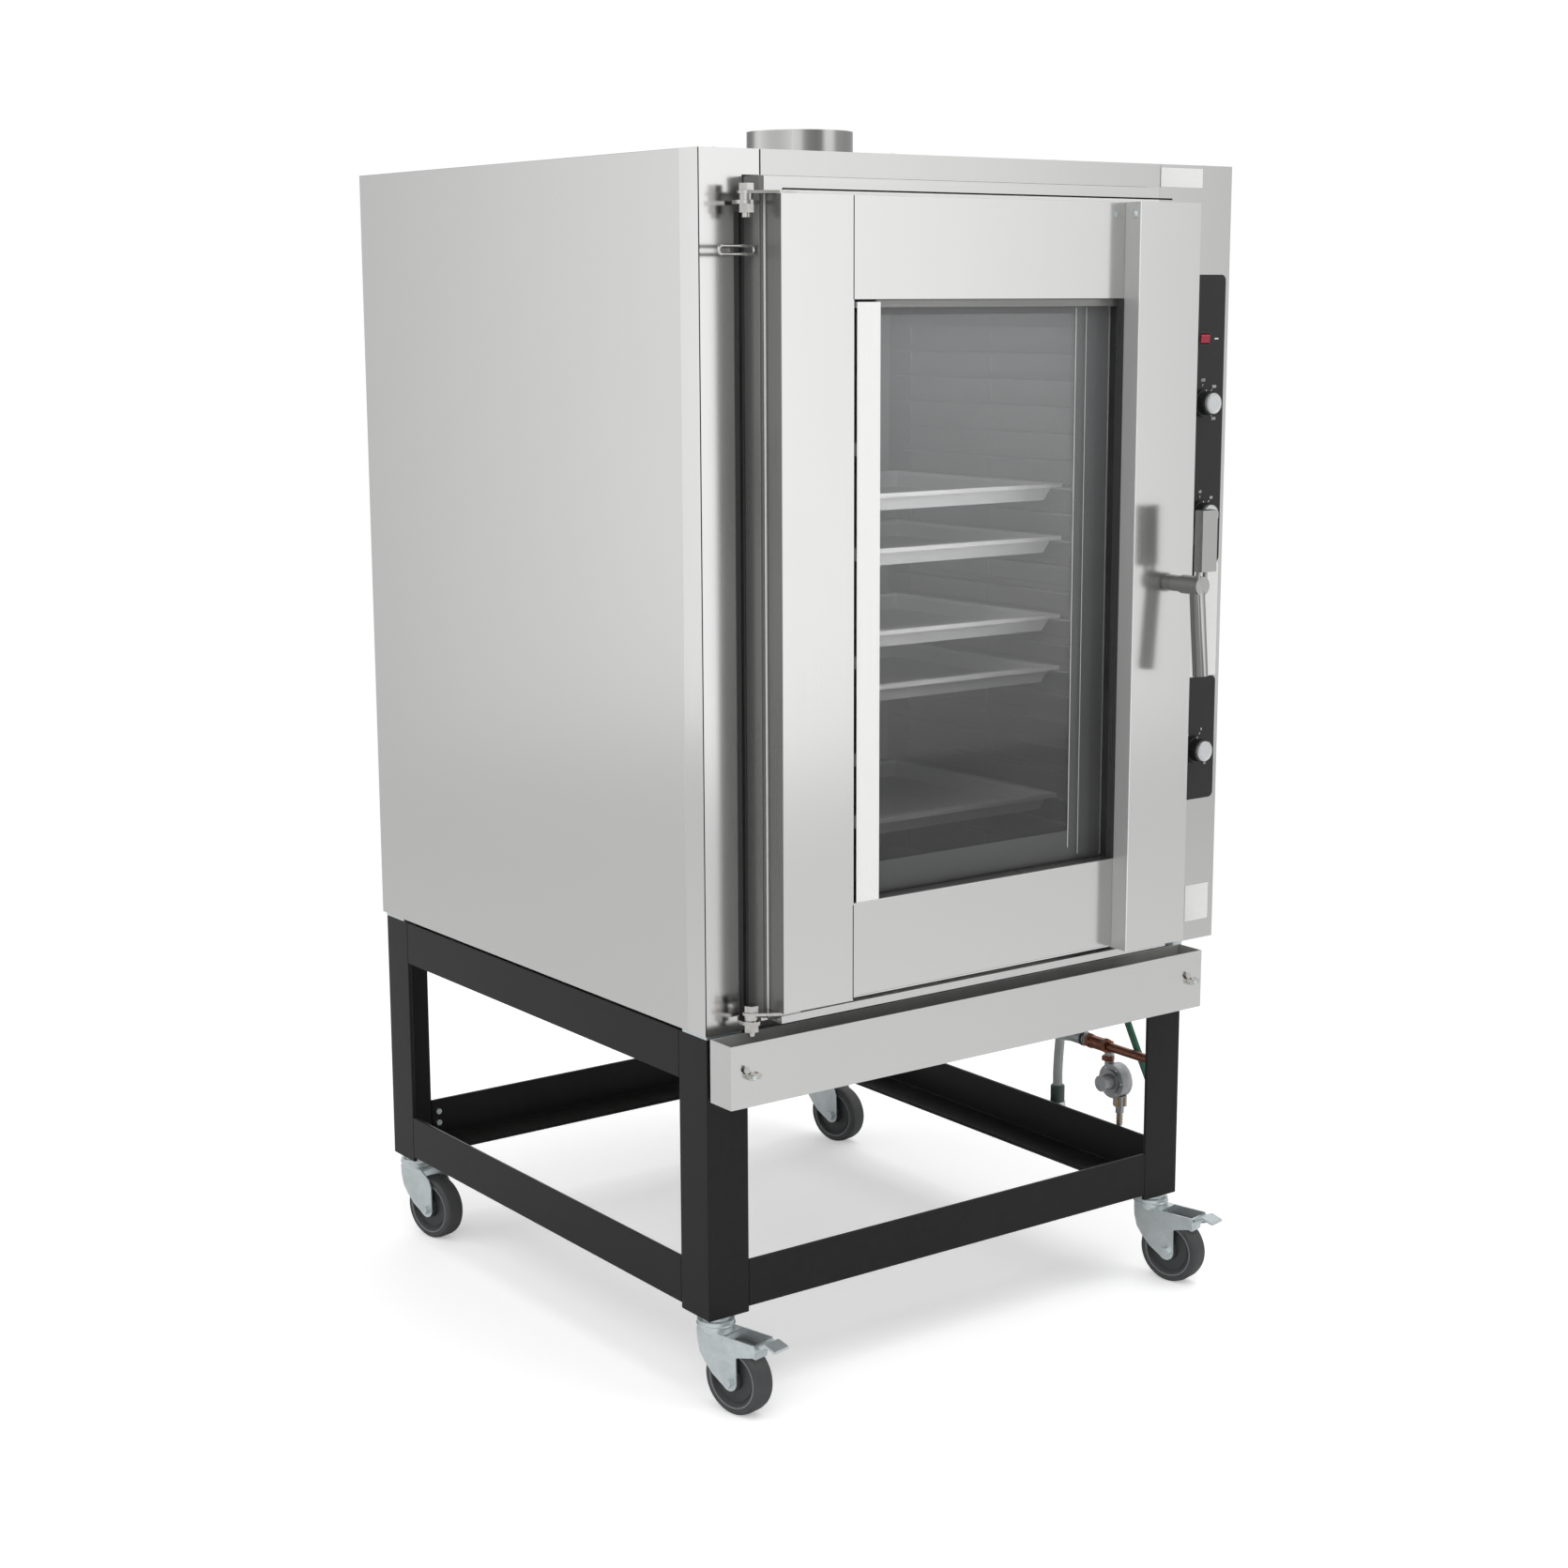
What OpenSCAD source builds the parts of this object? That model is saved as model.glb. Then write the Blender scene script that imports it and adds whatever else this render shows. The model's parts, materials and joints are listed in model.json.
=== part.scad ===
// Gas convection oven for 600 x 400 mm baking trays, on an angle-iron stand with four swivel castors.
// Each module draws in the cabinet's own frame: x from its left side, y from its front face towards
// the back, z from its underside. placed() moves that to the part's origin, which is on the floor
// under the middle of the whole oven, handle included.

/* [Cabinet] */
// Room for the controls, from the chamber frame to the cabinet's right side
control_room = 184; // [160:1:240]
// Room for motor and burner, from the insulation to the cabinet's back
machine_room = 280.5; // [240:0.5:400]
// Room between the chamber frame and the roof
roof_room = 36; // [30:1:120]
// Thickness of the stainless sheet
sheet = 1.5; // [1:0.1:2]
// Width of the left front post
post_w = 100; // [90:1:110]
// How far the left post folds back along the side
post_return = 44; // [30:1:60]
// Width of the control fascia at its top
fascia_w = 150; // [140:1:156]
// Fold along the edges of the side panels
panel_fold = 15; // [8:1:25]

/* [Oven chamber] */
// Left edge of the chamber frame
frame_left = 82; // [76:1:88]
// Height of the chamber frame's lower edge
frame_bottom = 24; // [18:1:34]
// How far the chamber frame stands out of the cabinet
frame_proud = 33; // [26:1:36]
// Width of the black seal round the chamber frame
seal_w = 10; // [6:1:12]
// Width of the frame's face beside the mouth
rim_side = 44; // [42:1:50]
// Width of the frame's face under the mouth
rim_bottom = 66; // [60:1:80]
// Width of the frame's face over the mouth
rim_top = 74; // [64:1:90]
// Room for the fan behind its baffle
fan_room = 128; // [110:1:180]
// Thickness of the insulation
insulation_t = 30; // [20:1:35]

/* [Door] */
// How far the door reaches past the chamber frame on the left
door_over = 3; // [1:1:6]
// How far the door reaches past the chamber frame on the right
door_over_right = 18; // [10:1:22]
// Height of the door's lower edge over the frame's lower edge
door_raise = 13; // [12:1:18]
// How far the door's top stays under the frame's top
door_drop = 24; // [12:1:40]
// Gap between the chamber frame and the door, filled by the gasket
door_gap = 4; // [3:0.5:6]
// Width of the stile on the hinge side
stile_w = 121; // [100:1:130]
// Depth of the stile on the hinge side
stile_t = 37.5; // [34:0.5:42]
// Width of the stile that carries the lever
lever_stile_w = 120; // [110:1:130]
// Depth of the stile that carries the lever
lever_stile_t = 63.5; // [56:0.5:70]
// Depth of the top and bottom rails
rail_t = 31.5; // [26:0.5:36]
// Height of the bottom rail
bottom_rail_h = 138; // [120:1:160]
// Height of the top rail
top_rail_h = 137; // [120:1:160]
// Thickness of the glass panes
glass_t = 4; // [3:0.5:5]
// Width of the inner pan's lip beside the window
pan_lip_side = 65; // [50:1:80]
// Width of the bright strip on the window's hinge side
strip_w = 40; // [28:1:44]
// Gap between the strip and the hinge stile
strip_gap = 9.5; // [6:0.5:16]
// Heights of the strip's tabs over the window's lower edge
strip_tabs = [115, 202, 338, 487, 629];
// Section of the door gasket
gasket_w = 16; // [12:1:20]

/* [Hinges] */
// Distance from the hinge pin to the door's left edge
pin_out = 27; // [25:1:32]
// Radius of the hinge bolts
pin_r = 6; // [5:0.5:7]
// Thickness of the hinge straps on the door
strap_t = 4; // [3:0.5:5]
// Thickness of the brackets on the chamber frame
bracket_t = 5; // [4:0.5:6]
// Rod of the loop that stops the open door
loop_rod = 6; // [5:0.5:7]

/* [Lever handle] */
// Height of the lever's shaft over the cabinet's underside
lever_z = 588; // [560:1:620]
// Distance of the lever's shaft from the door's free edge
lever_in = 36; // [33:1:40]
// How far the lever's front reaches out from the cabinet
handle_reach = 172; // [166:1:185]
// Radius of the lever's shaft
shaft_r = 12; // [10:0.5:13]
// Radius of the collar round the shaft
collar_r = 14; // [13.5:0.5:18]
// Width of the flat bar over the shaft
bar_w = 30; // [24:1:34]
// Depth of the flat bar
bar_d = 16; // [12:1:20]
// Length of the flat bar
bar_l = 90; // [60:1:100]
// Radius of the round grip under the shaft
grip_r = 11.5; // [9:0.5:12]
// Length of the round grip, from the shaft's axis
grip_l = 134; // [110:1:160]
// Reach of the latch tongue from the shaft's axis
tongue_l = 58; // [54:1:62]

/* [Controls] */
// Distance of the control column from the cabinet's right side
column_in = 52; // [50:1:56]
// Width of the black control overlay
overlay_w = 88; // [80:1:92]
// Height of the upper overlay
overlay_h = 439; // [400:1:460]
// Height of the lower overlay
low_overlay_h = 194; // [160:1:210]
// Gap between the latch keeper and the overlay
keeper_gap = 19; // [6:1:30]
// Width and height of the switch bodies behind the fascia
switch_w = 44; // [36:1:50]
// Depth of the switch bodies
switch_d = 42; // [30:1:60]
// Heights of the three knobs
knob_z = [846, 676, 308];
// Radius of a knob's black skirt
skirt_r = 21; // [17:0.5:24]
// Radius of a knob's silver cap
cap_r = 16; // [13:0.5:17]
// Height of the red rocker switch
rocker_z = 943; // [930:1:980]
// Width and height of the rocker
rocker_size = [19, 16];

/* [Chamber fittings] */
// Width of a baking tray
tray_w = 600; // [580:1:602]
// Depth of a baking tray
tray_d = 400; // [380:1:404]
// Height of a baking tray
tray_h = 20; // [15:1:25]
// Gap between a tray's rim and the chamber's side
tray_side = 15; // [8:1:22]
// Height of the lowest runner over the chamber's floor
runner_first = 67.4; // [50:0.1:90]
// Height of the chamber's ceiling over the highest runner
runner_top = 88.4; // [60:0.1:110]
// Distance between two runners
runner_pitch = 40.2; // [38:0.1:42]
// Number of runners on each side
runner_count = 22; // [20:1:22]
// Runner that each tray lies on, counted from the bottom
tray_levels = [14, 12, 9, 7, 2];
// Depth from the cabinet's front face to a tray's front edge
tray_front = 103; // [95:1:106]
// Radius of the fan wheel
fan_r = 175; // [150:1:185]
// Radius of the fan motor
motor_r = 80; // [60:1:95]
// Length of the fan motor
motor_l = 160; // [120:1:200]
// Outer radius of the flue collar
flue_r = 85.5; // [75:0.5:100]
// Height of the flue collar over the roof
flue_h = 66; // [40:1:100]
// How far the flue stands right of the chamber's middle
flue_side = 140; // [80:1:160]

/* [Services] */
// Distance of the gas pipe from the cabinet's right side
pipe_in = 32; // [26:1:40]
// Distance of the drain hose from the cabinet's right side
drain_in = 15; // [13:1:18]
// Width of a louvre in the back
louvre_w = 260; // [200:1:400]

/* [Drip trough] */
// How far the trough stays in from the stand's left leg
trough_left = 1; // [0:1:10]
// How far the trough stays in from the stand's right leg
trough_right = 13; // [0:1:30]
// Depth of the trough, front to back
trough_d = 50; // [40:1:60]
// Height of the trough
trough_h = 91; // [70:1:110]

/* [Stand] */
// Height of the stand's legs
leg_h = 414; // [350:1:500]
// How far the stand stays in from the cabinet's left side
stand_left = 5; // [3:1:20]
// How far the stand stays in from the cabinet's right side
stand_right = 61; // [54:1:70]
// How far the stand stays in from the cabinet's front
stand_front = 5; // [3:1:20]
// How far the stand stays in from the cabinet's back
stand_back = 4; // [3:1:30]
// Leg of the angle section
angle_w = 70; // [60:1:80]
// Thickness of the angle section
angle_t = 6; // [5:0.5:8]
// Spacers between the stand and the cabinet
spacer_h = 6; // [4:1:10]

/* [Castors] */
// Overall height of a castor
castor_h = 138; // [134:1:150]
// Radius of a castor wheel
wheel_r = 52.5; // [48:0.5:54]
// Width of a castor wheel's tyre
tyre_w = 33; // [28:1:36]
// Distance from the swivel axis to the axle
trail = 44; // [36:1:48]
// Way the castors point, turned from straight ahead
castor_turn = 13; // [0:1:30]

/* [Hidden] */
$fn = 48;
fit = 0.05;
seat = 0.3;

cab_lift = castor_h + leg_h + spacer_h;
mouth_w = tray_w + 2 * tray_side;
mouth_h = runner_first + (runner_count - 1) * runner_pitch + runner_top;
mouth_x0 = frame_left + rim_side;
mouth_x1 = mouth_x0 + mouth_w;
mouth_z0 = frame_bottom + rim_bottom;
mouth_z1 = mouth_z0 + mouth_h;
mouth_mid = (mouth_x0 + mouth_x1) / 2;
frame_right = mouth_x1 + rim_side;
frame_top = mouth_z1 + rim_top;
cab_w = frame_right + control_room;
cab_h = frame_top + roof_room;
baffle_y = tray_front + tray_d + 9;
cavity_back = baffle_y + fan_room;
insulated_back = cavity_back + sheet + insulation_t;
cab_d = insulated_back + machine_room;
front_y = -frame_proud;

door_x0 = frame_left - door_over;
door_x1 = frame_right + door_over_right;
door_z0 = frame_bottom + door_raise;
door_z1 = frame_top - door_drop;
pan_y = front_y - door_gap;
leaf_y = pan_y - sheet;
rail_y = leaf_y - rail_t;
stile_y = leaf_y - stile_t;
lever_stile_y = leaf_y - lever_stile_t;
win_x0 = door_x0 + stile_w;
win_x1 = door_x1 - lever_stile_w;
win_z0 = door_z0 + bottom_rail_h;
win_z1 = door_z1 - top_rail_h;
reveal_drop = 10;
pan_win_z0 = win_z0 + 46;
pan_win_z1 = win_z1 - 20;

pin_x = door_x0 - pin_out;
pin_y = front_y - 3;
pin_ear_r = 14;
bolt_af_r = 10.9;
bush_r = 9.5;

lever_x = door_x1 - lever_in;
collar_y0 = -handle_reach + 12;
collar_y1 = lever_stile_y - 18;
tongue_y = lever_stile_y + 52;
tongue_t = 6;
tongue_w = 16;
keeper_x0 = door_x1 + 4;
keeper_y = tongue_y - 6;
keeper_h = 2 * (tongue_l - tongue_w / 2) * sqrt(0.5) + 30;

column_x = cab_w - column_in;
keeper_x1 = column_x - overlay_w / 2 - keeper_gap;
overlay_t = 1;
spindle_r = 3;

runner_z0 = mouth_z0 + runner_first;
runner_reach = 24;
runner_t = 3;
tray_x0 = mouth_mid - tray_w / 2;
tray_rim = 12;
tray_sheet = 1.2;
tray_slope = 8;
fan_z = (mouth_z0 + mouth_z1) / 2;
fan_y0 = baffle_y + 16;
fan_y1 = cavity_back - 40;
exchanger_r = fan_r + 60;
exchanger_tube_r = 24;
burner_z = fan_z - exchanger_r;
ring_y = (fan_y0 + fan_y1) / 2 + 8;
flue_at = [mouth_mid + flue_side, ring_y - 12];

stand_x0 = stand_left;
stand_y0 = stand_front;
stand_x1 = cab_w - stand_right;
stand_y1 = cab_d - stand_back;
leg_top = -spacer_h;
leg_bottom = leg_top - leg_h;
low_rail_z = leg_bottom + 8;
trough_x0 = stand_x0 + trough_left;
trough_l = stand_x1 - trough_right - trough_x0;
trough_y1 = -2;
trough_y0 = trough_y1 - trough_d;
trough_z1 = -3;
trough_z0 = trough_z1 - trough_h;
stud_z = trough_z1 - trough_h / 2;
stud_r = 3;
stud_x = [trough_x0 + 31, trough_x0 + trough_l - 25];

castor_in = [29.5, 26];
castor_at = [
    [stand_x0 + castor_in[0], stand_y0 + castor_in[1]],
    [stand_x1 - castor_in[0], stand_y0 + castor_in[1]],
    [stand_x0 + castor_in[0], stand_y1 - castor_in[1]],
    [stand_x1 - castor_in[0], stand_y1 - castor_in[1]]];
race_r = 27;
stem_r = 6;
collar_h = 6.5;
race_top = castor_h - collar_h - 0.5;
race_h = 13;
crown_z = race_top - race_h;
crown_t = 3;
arm_t = 2.5;
arm_in = 19.5;
axle_r = 4;
pedal_at = [-trail - 40, wheel_r + 54.5];
pedal_pin_r = 2.5;

pipe_x = cab_w - pipe_in;
drain_x = cab_w - drain_in;
pipe_z = -226;
pipe_r = 7.5;
pipe_front = stand_y0 + 65;
pipe_back = 244;
tee_y = 206;
regulator_at = [pipe_x + 4, 183, -281];
hose_r = 8.5;
gas_route = [
    [pipe_x, pipe_back, pipe_z], [pipe_x, pipe_back + 18, pipe_z], [pipe_x - 2, 300, -230],
    [pipe_x - 4, 350, -234], [pipe_x - 4, 400, -226], [pipe_x - 4, 432, -190],
    [pipe_x - 4, 440, -140], [pipe_x - 4, 440, -60], [pipe_x - 4, 440, 0]];
drain_route = [
    [drain_x, 318, 0], [drain_x, 319, -60], [drain_x, 322, -120], [drain_x, 328, -190],
    [drain_x, 337, -250], [drain_x, 341, low_rail_z + 112], [drain_x, 341, low_rail_z + 82],
    [drain_x, 341, low_rail_z + 16]];
green_route = [
    [drain_x - 1, 262, 0], [drain_x - 1, 256, -30], [drain_x - 1, 236, -72], [drain_x - 1, 208, -112],
    [drain_x - 1, 182, -160], [drain_x - 1, 150, -216], [drain_x - 1, 117, -270],
    [drain_x - 5, 92, -306], [drain_x - 15, 70, -326], [stand_x1 + 20, 60, -330],
    [stand_x1 + 10, 60, -330], [stand_x1, 60, -330]];
green_r = 6;

rim_h = 6;
rack_bar = 3;
intake_r = 125;
fan_shaft_r = 9;
fan_shaft_end = insulated_back + 120;
riser_r = 40;
rocker_y = 1;
rocker_tilt = 8;
loop_y = -28;
loop_z = door_z1 - 72;
loop_tip = 20;
drain_end = drain_route[7];
clip_z = low_rail_z + 45;
tail_r = 5;
sleeve_r = 11.5;
stand_gap = pipe_x - stand_x1;
regulator_up = pipe_z - 10 - regulator_at[2];

// A box between two corners
module box(a, b) {
    translate(a) cube(b - a);
}

// A flat outline in x and z, as a plate between two depths
module slab_y(y0, y1) {
    translate([0, y1, 0]) rotate([90, 0, 0]) linear_extrude(y1 - y0) children();
}

// A flat outline in y and z, as a plate between two places across
module slab_x(x0, x1) {
    translate([x0, 0, 0]) rotate([90, 0, 90]) linear_extrude(x1 - x0) children();
}

// A flat outline in x and y, as a plate between two heights
module slab_z(z0, z1) {
    translate([0, 0, z0]) linear_extrude(z1 - z0) children();
}

// Round bars along each axis
module rod_x(x0, x1, r) {
    translate([x0, 0, 0]) rotate([0, 90, 0]) cylinder(h = x1 - x0, r = r);
}
module rod_y(y0, y1, r) {
    translate([0, y1, 0]) rotate([90, 0, 0]) cylinder(h = y1 - y0, r = r);
}
module rod_z(z0, z1, r) {
    translate([0, 0, z0]) cylinder(h = z1 - z0, r = r);
}

// A flat frame: the outer rectangle less the inner one
module ring2d(a, b, border) {
    difference() {
        translate(a) square(b - a);
        translate(a + [border, border]) square(b - a - 2 * [border, border]);
    }
}

// A rectangle with rounded corners on its right side
module tab2d(w, h, r) {
    square([w - r, h]);
    translate([0, r]) square([w, h - 2 * r]);
    for (v = [r, h - r]) translate([w - r, v]) circle(r);
}

// The part's origin: on the floor, under the middle of the oven and its handle
module placed() {
    translate([-cab_w / 2, -(cab_d - handle_reach) / 2, cab_lift]) children();
}

// Smooth curve through a list of points, and a tube swept along it
function curve_at(p, i, t) =
    let (n = len(p) - 1, a = p[max(i - 1, 0)], b = p[i], c = p[min(i + 1, n)], d = p[min(i + 2, n)])
    0.5 * (2 * b + (c - a) * t + (2 * a - 5 * b + 4 * c - d) * t * t
        + (3 * b - a - 3 * c + d) * t * t * t);
function curve(p, steps) = concat(
    [for (i = [0 : len(p) - 2]) for (s = [0 : steps - 1]) curve_at(p, i, s / steps)],
    [p[len(p) - 1]]);
function unit(v) = v / norm(v);
function heading(p, i) = unit(p[min(i + 1, len(p) - 1)] - p[max(i - 1, 0)]);
module tube_along(route, r, steps = 3, sides = 12) {
    path = curve(route, steps);
    n = len(path);
    side = [1, 0.03, 0.02];
    rings = [for (i = [0 : n - 1]) let (h = i == 0 ? unit(path[1] - path[0]) :
        i == n - 1 ? unit(path[n - 1] - path[n - 2]) : heading(path, i),
        ref = abs(h[0]) > 0.8 ? [0, 0, 1] : side,
        u = unit(ref - (ref * h) * h), v = cross(h, u))
        for (k = [0 : sides - 1]) path[i] + r * (cos(360 * k / sides) * u + sin(360 * k / sides) * v)];
    walls = [for (i = [0 : n - 2]) for (k = [0 : sides - 1]) for (f = [0, 1])
        f == 0 ? [i * sides + k, (i + 1) * sides + k, i * sides + (k + 1) % sides]
        : [i * sides + (k + 1) % sides, (i + 1) * sides + k, (i + 1) * sides + (k + 1) % sides]];
    caps = [[for (k = [0 : sides - 1]) k], [for (k = [sides - 1 : -1 : 0]) (n - 1) * sides + k]];
    polyhedron(rings, concat(walls, caps));
}

// Stand

// One angle section, with its corner at the origin
module angle2d() {
    square([angle_w, angle_t]);
    square([angle_t, angle_w]);
}

module stand_legs() {
    color([0.2, 0.2, 0.2]) placed() for (side = [0, 1]) for (back = [0, 1])
        translate([side == 0 ? stand_x0 : stand_x1, back == 0 ? stand_y0 : stand_y1, 0])
            mirror([side, 0, 0]) mirror([0, back, 0]) slab_z(leg_bottom, leg_top) angle2d();
}

// Rails between the legs: the low ones carry their flange at the bottom, the top ones at the top
module stand_rails() {
    color([0.17, 0.17, 0.17]) placed() for (level = [0, 1]) {
        z = level == 0 ? low_rail_z : leg_top;
        for (back = [0, 1]) translate([0, back == 0 ? stand_y0 : stand_y1, z])
            mirror([0, back, 0]) mirror([0, 0, level])
                slab_x(stand_x0 + angle_w, stand_x1 - angle_w) angle2d();
        for (side = [0, 1]) translate([side == 0 ? stand_x0 : stand_x1, 0, z])
            mirror([side, 0, 0]) mirror([0, 0, level])
                slab_y(stand_y0 + angle_w, stand_y1 - angle_w) angle2d();
    }
}

// Spacers, castor plates and stems, trough studs, rail bolts and the hose clip
module stand_fixings() {
    color([0.6, 0.62, 0.64]) placed() {
        for (side = [0, 1]) for (back = [0, 1])
            translate([side == 0 ? stand_x0 : stand_x1, back == 0 ? stand_y0 : stand_y1, 0])
                mirror([side, 0, 0]) mirror([0, back, 0]) {
                    box([0, 0, leg_top], [60, 60, 0]);
                    castor_fixing();
                }
        for (x = stud_x) translate([x, 0, stud_z]) {
            rod_y(trough_y0 - 13, stand_y0, stud_r);
            rod_y(trough_y1, stand_y0, 2 * stud_r);
        }
        for (side = [0, 1]) for (k = [0, 1])
            translate([side == 0 ? stand_x0 + 82 : stand_x1 - 82, stand_y1 - angle_t, low_rail_z + 30 + 20 * k])
                rod_y(-5, 0, 5);
        difference() {
            union() {
                box([stand_x1, drain_end[1] - 10, clip_z - 1], [drain_end[0], drain_end[1] + 10, clip_z + 1]);
                translate([drain_end[0], drain_end[1], 0]) rod_z(clip_z - 8, clip_z + 8, sleeve_r + 2.5);
            }
            translate([drain_end[0], drain_end[1], 0]) rod_z(clip_z - 9, clip_z + 9, sleeve_r - 0.7);
        }
    }
}

// What holds a castor in its leg: corner plate, nut, stem, collar and the riveted head
module castor_fixing() {
    box([angle_t, angle_t, leg_bottom], [angle_w, angle_w, leg_bottom + 6]);
    translate([castor_in[0], castor_in[1], -cab_lift]) {
        rod_z(castor_h - collar_h, castor_h, 22);
        rod_z(crown_z - crown_t - 1, castor_h + 22, stem_r);
        rod_z(crown_z - crown_t - 6.5, crown_z - crown_t - 0.5, 9);
        rod_z(castor_h + 6, castor_h + 15, 10);
    }
}

// Castors

// Moves a castor from its own frame (swivel axis at the origin, on the floor) to its corner
module castor(i) {
    translate([-cab_w / 2, -(cab_d - handle_reach) / 2, 0])
        translate([castor_at[i][0], castor_at[i][1], 0]) rotate([0, 0, castor_turn]) children();
}

// Outline of one fork arm in y and z
module arm2d() {
    polygon([[race_r - 9, crown_z], [-race_r - 6, crown_z], [-trail - 6, crown_z - 12],
        [-trail - 13, wheel_r + 40], [-trail - 13.9, wheel_r], [-trail + 11, wheel_r - 9],
        [-trail + 31, wheel_r + 3], [race_r - 26, wheel_r + 16.5], [race_r - 15, wheel_r + 31],
        [race_r - 10, crown_z - 16]]);
    translate([-trail, wheel_r]) circle(14);
}

// Outline of the arm that carries the brake pedal
module brake_arm2d() {
    polygon([[-race_r - 4, crown_z], [pedal_at[0] - 5, crown_z], [pedal_at[0] - 8, crown_z - 6],
        [pedal_at[0] - 8, crown_z - 18], [-trail - 16, crown_z - 26], [-trail - 10, crown_z - 30]]);
}

module fork(i, braked) {
    color([0.66, 0.69, 0.71]) castor(i) {
        difference() {
            union() {
                rod_z(crown_z, crown_z + race_h, race_r);
                rod_z(crown_z - crown_t, crown_z, race_r - 1);
                box([-arm_in, -race_r - 6, crown_z - crown_t], [arm_in, 0, crown_z]);
            }
            rod_z(crown_z - crown_t - 1, crown_z + race_h + 1, stem_r + fit);
        }
        for (s = [-1, 1]) {
            x0 = s < 0 ? -arm_in - arm_t : arm_in;
            slab_x(x0, x0 + arm_t) union() {
                arm2d();
                if (braked) brake_arm2d();
            }
        }
        translate([0, -trail, wheel_r]) {
            rod_x(-arm_in - arm_t, arm_in + arm_t, axle_r);
            rod_x(-arm_in - arm_t - 4, -arm_in - arm_t, 6);
            rod_x(arm_in + arm_t, arm_in + arm_t + 5, 6);
        }
        if (braked) translate([0, pedal_at[0], pedal_at[1]])
            rod_x(-arm_in - arm_t, arm_in + arm_t, pedal_pin_r);
    }
}

module wheel(i) {
    color([0.25, 0.25, 0.26]) castor(i) translate([0, -trail, wheel_r]) rotate([90, 0, 90])
        rotate_extrude() {
            half = tyre_w / 2;
            polygon([[axle_r + fit, -arm_in + 0.3], [12, -arm_in + 0.3], [12, -9], [36, -9],
                [38, -half], [wheel_r - 4, -half], [wheel_r - 1, -half + 3], [wheel_r, -half + 8],
                [wheel_r, half - 8], [wheel_r - 1, half - 3], [wheel_r - 4, half], [38, half],
                [36, 9], [12, 9], [12, arm_in - 0.3], [axle_r + fit, arm_in - 0.3]]);
        }
}

module pedal(i) {
    color([0.5, 0.53, 0.55]) castor(i) translate([0, pedal_at[0], pedal_at[1]]) difference() {
        union() {
            rod_x(-arm_in + 0.4, arm_in - 0.4, 6);
            slab_x(-15, 15) polygon([[-2, 5.9], [-22, 15], [-40, 9], [-41, 5.6], [-23, 10.6],
                [-5, 2], [-5.5, 0]]);
            slab_x(-12, 12) polygon([[-4, -4], [4, -4], [2.5, -14], [-2.5, -14]]);
        }
        rod_x(-arm_in, arm_in, pedal_pin_r + fit);
    }
}

module fork_front_left() { fork(0, true); }
module fork_front_right() { fork(1, true); }
module fork_rear_left() { fork(2, false); }
module fork_rear_right() { fork(3, false); }
module wheel_front_left() { wheel(0); }
module wheel_front_right() { wheel(1); }
module wheel_rear_left() { wheel(2); }
module wheel_rear_right() { wheel(3); }
module pedal_left() { pedal(0); }
module pedal_right() { pedal(1); }

// Cabinet

module base_panel() {
    color([0.72, 0.72, 0.72]) placed() difference() {
        union() {
            box([sheet, sheet, 0], [cab_w - sheet, cab_d - sheet, sheet]);
            box([sheet, cab_d - 2 * sheet, sheet], [cab_w - sheet, cab_d - sheet, 30]);
            box([sheet, sheet, sheet], [frame_left - seal_w - 2, 2 * sheet, 30]);
        }
        translate([gas_route[8][0], gas_route[8][1], 0]) rod_z(-1, 31, hose_r + 1);
        translate([drain_route[0][0], drain_route[0][1], 0]) rod_z(-1, 31, hose_r + 1);
        translate([green_route[0][0], green_route[0][1], 0]) rod_z(-1, 31, green_r + 1);
        translate([pipe_x, pipe_front, 0]) rod_z(-1, 31, pipe_r + 1);
    }
}

// Both sides, each with a fold at its front and back edge
module side_panels() {
    color([0.75, 0.75, 0.75]) placed() for (side = [0, 1])
        translate([side * cab_w, 0, 0]) mirror([side, 0, 0]) {
            y0 = post_return + 0.6;
            box([0, y0, 0], [sheet, cab_d, cab_h]);
            box([sheet, y0, sheet], [panel_fold, y0 + sheet, cab_h - sheet]);
        }
}

// Back with two fields of louvres, and the openings that the motor and burner breathe through
module back_panel() {
    color([0.72, 0.72, 0.72]) placed() difference() {
        box([sheet, cab_d - sheet, 0], [cab_w - sheet, cab_d, cab_h]);
        for (k = [0 : 11]) for (z0 = [150, cab_h - 440])
            box([mouth_mid - louvre_w / 2, cab_d - 2 * sheet, z0 + 22 * k],
                [mouth_mid + louvre_w / 2, cab_d + 1, z0 + 22 * k + 8]);
    }
}

module roof_panel() {
    color([0.75, 0.75, 0.75]) placed() difference() {
        union() {
            box([sheet, sheet, cab_h - sheet], [cab_w - sheet, cab_d - sheet, cab_h]);
            box([panel_fold + 1, cab_d - 2 * sheet, cab_h - 25],
                [cab_w - panel_fold - 1, cab_d - sheet, cab_h - sheet]);
        }
        translate([flue_at[0], flue_at[1], 0]) rod_z(cab_h - 3, cab_h + 1, flue_r - 1);
    }
}

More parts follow.
